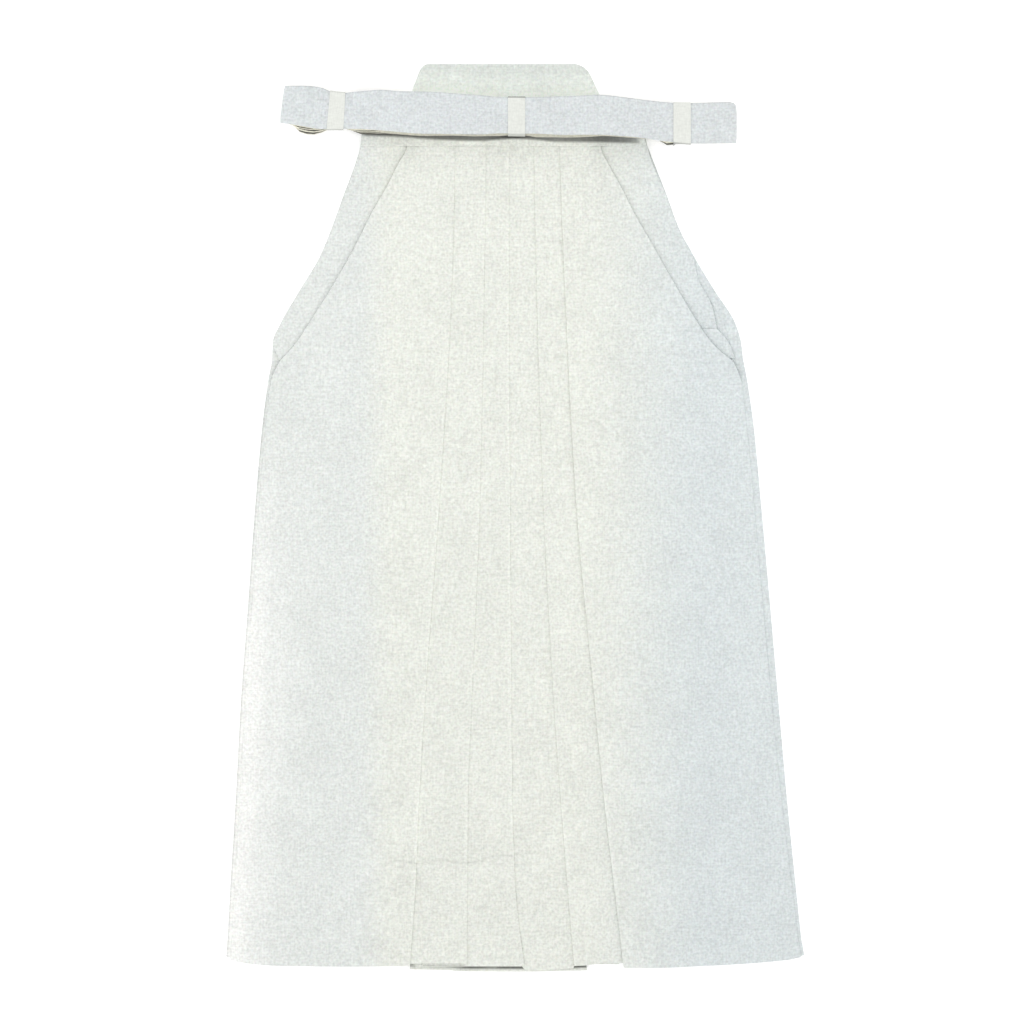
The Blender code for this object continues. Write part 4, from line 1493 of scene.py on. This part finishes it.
def add_stitch(work, place, direction, length, width):
    """A short raised thread, round across and sunk at both ends, in millimetres."""
    side = np.cross(direction, (0.0, 0.0, 1.0))
    rings = []
    for share, scale, up in STITCH_RINGS:
        ring = []
        for i in range(STITCH_SIDES):
            angle = 2 * math.pi * i / STITCH_SIDES
            point = place + direction * length * share + side * math.cos(angle) * width / 2 * scale
            point = point + np.array((0.0, 0.0, up + math.sin(angle) * width / 2 * scale))
            ring.append(work.verts.new(to_metres(point).tolist()))
        rings.append(ring)
    for near, far in zip(rings, rings[1:]):
        for i in range(STITCH_SIDES):
            j = (i + 1) % STITCH_SIDES
            work.faces.new((near[i], near[j], far[j], far[i]))
    work.faces.new(rings[0][::-1])
    work.faces.new(rings[-1])


def add_stitches(name, places, length, width, material):
    """One mesh of many stitches at (point, direction) places."""
    work = bmesh.new()
    for point, direction in places:
        add_stitch(work, point, direction, length, width)
    bmesh.ops.recalc_face_normals(work, faces=work.faces)
    mesh = bpy.data.meshes.new(name)
    work.to_mesh(mesh)
    work.free()
    mesh.shade_smooth()
    finish_piece(add_object(name, mesh), material, "body_cotton")


def walk(line, pitch, start):
    """Points and directions at even steps along a line of points."""
    steps = np.linalg.norm(np.diff(line, axis=0), axis=1)
    along = np.concatenate(([0.0], np.cumsum(steps)))
    places = []
    for distance in np.arange(start, along[-1] - 1.0, pitch):
        point, ahead = (np.array([np.interp(at, along, line[:, i]) for i in range(3)])
                        for at in (distance, distance + 0.8))
        direction = ahead - point
        places.append((point, direction / max(np.linalg.norm(direction), 1e-6)))
    return places


def make_stitches(fronts, waistband, material):
    """Blind stitches of the hems, and the small stitches along the waistband's lower edge."""
    surface = np.array((0.0, 0.0, CLOTH / 2 + 0.05))
    places = []
    turned_rows = len(BEND_ANGLES) + len(TURNED_BACK)
    stitch_row = len(panel_rows(FRONT_TOP)) - turned_rows - 1 - (len(HEM_DISTANCES) - HEM_STITCH_ROW)
    first = len(FLAP_DISTANCES) + len(BEND_ANGLES)
    for grid in fronts:
        line = grid[stitch_row, first:first + OUTER_COUNT + len(EDGE_DISTANCES)] + surface
        places += walk(line, *HEM_STITCH_STEPS)
    add_stitches("hem_stitches", places, *HEM_STITCH_SIZE, material)
    edge_column = len(BAND_FLAP) + len(BEND_ANGLES) + 1
    places = walk(waistband[:, edge_column] + surface, *BAND_STITCH_STEPS)
    add_stitches("waistband_stitches", places, *BAND_STITCH_SIZE, material)


# Materials

def add_node(tree, kind, inputs=(), **settings):
    """Add a node, set its options and connect or set its inputs."""
    item = tree.nodes.new(kind)
    for key, value in settings.items():
        setattr(item, key, value)
    for key, value in dict(inputs).items():
        if isinstance(value, bpy.types.NodeSocket):
            tree.links.new(value, item.inputs[key])
        else:
            item.inputs[key].default_value = value
    return item


def math_node(tree, operation, first, second=0.0, third=0.0):
    """Output of a Math node."""
    return add_node(tree, "ShaderNodeMath", {0: first, 1: second, 2: third}, operation=operation).outputs[0]


def times(tree, first, second):
    """Product of two colours, or of a colour and a value."""
    return add_node(tree, "ShaderNodeVectorMath", {0: first, 1: second}, operation="MULTIPLY").outputs[0]


def map_range(tree, value, low, high, to_low=0.0, to_high=1.0):
    """Output of a Map Range node."""
    return add_node(tree, "ShaderNodeMapRange", {0: value, 1: low, 2: high, 3: to_low, 4: to_high}).outputs[0]


def mix_colours(tree, share, first, second):
    """Mix of two colours."""
    made = add_node(tree, "ShaderNodeMix", {"Factor": share, 6: first, 7: second}, data_type="RGBA")
    return made.outputs[2]


def noise_node(tree, place, scale, detail=2.0, roughness=0.5):
    """A noise with its own scale along each axis."""
    moved = add_node(tree, "ShaderNodeMapping", {"Vector": place, "Scale": scale}, vector_type="POINT")
    return add_node(tree, "ShaderNodeTexNoise", {"Vector": moved.outputs[0], "Scale": 1.0, "Detail": detail,
                                                 "Roughness": roughness}, noise_dimensions="3D")


def noise(tree, place, size_mm, stretch=(1.0, 1.0, 1.0), detail=2.0, roughness=0.5):
    """Noise with features of about size_mm, stretched along the axes."""
    scale = tuple(1.0 / (size_mm * MM * s) for s in stretch)
    return noise_node(tree, place, scale, detail, roughness).outputs["Fac"]


def new_material(name, roughness):
    """A material with an empty tree but for its shader and output."""
    material = bpy.data.materials.new(name)
    material.use_nodes = True
    tree = material.node_tree
    shader = tree.nodes["Principled BSDF"]
    shader.inputs["Roughness"].default_value = roughness
    shader.inputs["Metallic"].default_value = 0.0
    return material, tree, shader


def object_place(tree):
    """Place on the object, in metres."""
    return add_node(tree, "ShaderNodeTexCoord").outputs["Object"]


def dress(tree, shader, colour, height, bump_mm):
    """Connect a colour and the bump of a height to a shader."""
    tree.links.new(colour, shader.inputs["Base Color"])
    made = add_node(tree, "ShaderNodeBump", {"Height": height, "Strength": 1.0, "Distance": bump_mm * MM})
    tree.links.new(made.outputs[0], shader.inputs["Normal"])


def weave_height(tree, place, pitch_mm):
    """Plain weave: threads that rise and sink over each other, along both axes."""
    split = add_node(tree, "ShaderNodeSeparateXYZ", {0: place})
    turns = math.pi / (pitch_mm * MM)
    across, along = (math_node(tree, "SINE", math_node(tree, "MULTIPLY", split.outputs[i], turns))
                     for i in (0, 1))
    return math_node(tree, "MULTIPLY", across, along)


def shaded_gain(tree, gain):
    """A gain that falls with the painted shade stored on the mesh, and rises with painted light where it is
    below zero.
    """
    shade = add_node(tree, "ShaderNodeAttribute", attribute_name="shade").outputs["Fac"]
    return math_node(tree, "MULTIPLY", gain, math_node(tree, "SUBTRACT", 1.0, shade))


def colour_grain(tree, place, amount):
    """A faint grain in each colour channel, about one."""
    made = noise_node(tree, place, (CHROMA_SCALE,) * 3, 1.0)
    return add_node(tree, "ShaderNodeVectorMath",
                    {0: made.outputs["Color"], 1: (amount,) * 3, 2: (1.0 - amount / 2,) * 3},
                    operation="MULTIPLY_ADD").outputs[0]


def grain_value(tree, place, grain):
    """Sum of a fine grain, slubs along both threads and soft blotches, about zero; and the two slubs."""
    fine = noise(tree, place, 2.7, detail=1.0)
    warp = noise(tree, place, 1.9, (0.8, 7.0, 1.0))
    weft = noise(tree, place, 1.9, (7.0, 0.8, 1.0))
    blotch = noise(tree, place, 46.0, detail=3.0)
    total = math_node(tree, "MULTIPLY_ADD", fine, grain, -0.5 * grain)
    for value, amount in ((warp, 0.45 * grain), (weft, 0.45 * grain), (blotch, 0.30 * grain)):
        part = math_node(tree, "MULTIPLY_ADD", value, amount, -0.5 * amount)
        total = math_node(tree, "ADD", total, part)
    return total, warp, weft


def cloth_material(name, tone, weave_pitch=0.8, grain=0.45):
    """Matte plain-woven cotton whose broad tone is made by the function tone."""
    material, tree, shader = new_material(name, CLOTH_ROUGHNESS)
    shader.inputs["Sheen Weight"].default_value = SHEEN
    shader.inputs["Sheen Roughness"].default_value = SHEEN_ROUGHNESS
    shader.inputs["Specular IOR Level"].default_value = CLOTH_SPECULAR
    place = object_place(tree)
    threads = weave_height(tree, place, weave_pitch)
    total, warp, weft = grain_value(tree, place, grain)
    gain = math_node(tree, "ADD", math_node(tree, "MULTIPLY_ADD", threads, WEAVE_TONE, 1.0), total)
    colour = times(tree, tone(tree, place), colour_grain(tree, place, CHROMA))
    slubs = math_node(tree, "MULTIPLY", math_node(tree, "ADD", warp, weft), 1.3)
    height = math_node(tree, "MULTIPLY_ADD", threads, 0.35, slubs)
    dress(tree, shader, times(tree, colour, shaded_gain(tree, gain)), height, WEAVE_BUMP)
    return material


def ramp(tree, value, stops, low, high):
    """Colour ramp along a value in metres; the stops are (millimetres, colour)."""
    item = add_node(tree, "ShaderNodeValToRGB", {0: map_range(tree, value, low * MM, high * MM)})
    elements = item.color_ramp.elements
    elements.remove(elements[-1])
    item.color_ramp.interpolation = "EASE"
    for i, (place, colour) in enumerate(stops):
        spot = (place - low) / (high - low)
        element = elements[0] if i == 0 else elements.new(spot)
        element.position = spot
        element.color = (*colour, 1.0)
    return item.outputs["Color"]


def body_tone(tree, place):
    """Warm white at the centre, darker and cooler to the right as painted shade, painted light that makes it
    nearly white along the left edge, and lighter towards the top as painted light.
    """
    split = add_node(tree, "ShaderNodeSeparateXYZ", {0: place})
    across, up = split.outputs[0], split.outputs[1]
    base = ramp(tree, across, BODY_TONES, *BODY_SPAN)
    # The left contour leans out, so that this sum is nearly the same all along it
    slant = math_node(tree, "MULTIPLY_ADD", up, PAINTED_EDGE_LIGHT_SLANT, across)
    edge = ramp(tree, slant, [(spot, (share,) * 3) for spot, share in PAINTED_EDGE_LIGHT], *PAINTED_EDGE_LIGHT_SPAN)
    below = map_range(tree, up, *PAINTED_EDGE_LIGHT_BELOW)
    share = math_node(tree, "MULTIPLY", add_node(tree, "ShaderNodeRGBToBW", {0: edge}).outputs[0], below)
    mixed = mix_colours(tree, share, base, (*BODY_EDGE, 1.0))
    return times(tree, mixed, map_range(tree, up, *GAIN_SPAN, HEM_GAIN, TOP_GAIN))


def plain_tone(colour, other=None):
    """Function that makes a tone of one colour, mottled softly towards another."""
    def tone(tree, place):
        second = other or tuple(c * 0.97 for c in colour)
        return mix_colours(tree, noise(tree, place, 60.0), (*colour, 1.0), (*second, 1.0))
    return tone


def paper_material(name):
    """Thin cream paper with short fibres."""
    material, tree, shader = new_material(name, PAPER_ROUGHNESS)
    place = object_place(tree)
    fibres = noise(tree, place, 1.2, (1.0, 5.0, 1.0), 3.0, 0.6)
    cross = noise(tree, place, 2.2, (3.0, 0.8, 1.0))
    total = math_node(tree, "ADD", math_node(tree, "MULTIPLY_ADD", fibres, 0.24, -0.12),
                      math_node(tree, "MULTIPLY_ADD", cross, 0.2, 0.9))
    dress(tree, shader, times(tree, PAPER_COLOUR, shaded_gain(tree, total)), fibres, PAPER_BUMP)
    return material


def thread_material(name):
    """Cotton sewing thread with its twist."""
    material, tree, shader = new_material(name, THREAD_ROUGHNESS)
    place = object_place(tree)
    twist = add_node(tree, "ShaderNodeTexWave", {"Vector": place, "Scale": 900.0, "Distortion": 0.5},
                     bands_direction="DIAGONAL").outputs["Fac"]
    gain = math_node(tree, "MULTIPLY_ADD", twist, 0.12, 0.9)
    dress(tree, shader, times(tree, THREAD_COLOUR, gain), twist, THREAD_BUMP)
    return material


# Floor, light and camera

def make_floor():
    """A plain white floor that is also lit from below, like a light table."""
    bpy.ops.mesh.primitive_plane_add(size=FLOOR_SIZE, location=(0.0, 0.0, FLOOR_HEIGHT))
    floor = bpy.context.object
    floor.name = "white_floor"
    material, _, shader = new_material("white_floor_finish", FLOOR_ROUGHNESS)
    shader.inputs["Base Color"].default_value = (FLOOR_TONE, FLOOR_TONE, FLOOR_TONE, 1.0)
    shader.inputs["Specular IOR Level"].default_value = 0.1
    shader.inputs["Emission Color"].default_value = (1.0, 1.0, 1.0, 1.0)
    shader.inputs["Emission Strength"].default_value = FLOOR_GLOW
    floor.data.materials.append(material)


def make_light():
    """A bright even sky and one large soft lamp from the lower left."""
    world = bpy.data.worlds.new("soft_studio")
    world.use_nodes = True
    background = world.node_tree.nodes["Background"]
    background.inputs["Color"].default_value = (1.0, 1.0, 1.0, 1.0)
    background.inputs["Strength"].default_value = SKY_STRENGTH
    bpy.context.scene.world = world
    lamp = bpy.data.lights.new("soft_lamp", "AREA")
    lamp.shape = "RECTANGLE"
    lamp.size = LAMP_SIZE
    lamp.size_y = LAMP_SIZE
    lamp.energy = LAMP_WATTS
    item = add_object("soft_lamp", lamp)
    item.location = LAMP_PLACE
    item.rotation_euler = (-Vector(LAMP_PLACE)).to_track_quat("-Z", "Y").to_euler()


def make_camera():
    """The camera looks straight down, square to the floor."""
    data = bpy.data.cameras.new("camera")
    distance = (CAMERA_HEIGHT - SUBJECT_HEIGHT) * MM
    data.sensor_width = SENSOR
    data.lens = SENSOR * distance / (PIXEL * FRAME_PIXELS * MM)
    data.clip_end = 2 * CAMERA_HEIGHT * MM
    camera = add_object("camera", data)
    camera.location = (FRAME_CENTRE[0] * MM, FRAME_CENTRE[1] * MM, CAMERA_HEIGHT * MM)
    bpy.context.scene.camera = camera
    bpy.context.scene.view_settings.view_transform = "Standard"


def main():
    """Make the stage, the materials and every piece."""
    make_camera()
    make_floor()
    make_light()
    body = cloth_material("body_cotton_weave", body_tone)
    tie = cloth_material("tie_cotton_weave", plain_tone(TIE_COLOUR, TIE_END_COLOUR), 0.7)
    lower_tie = cloth_material("lower_tie_cotton_weave", plain_tone(LOWER_TIE_COLOUR), 0.7)
    board = cloth_material("board_cotton_weave", plain_tone(BOARD_COLOUR), 0.8, 0.4)
    paper = paper_material("cream_paper")
    thread = thread_material("sewing_thread")
    fronts = make_panels(body)
    make_leaves(body)
    waistband = make_waistband(body)
    make_board(board)
    make_folded_ties(lower_tie)
    make_top_tie(tie)
    for band in PAPER_BANDS:
        make_paper_band(*band, paper)
    make_stitches(fronts, waistband, thread)


main()
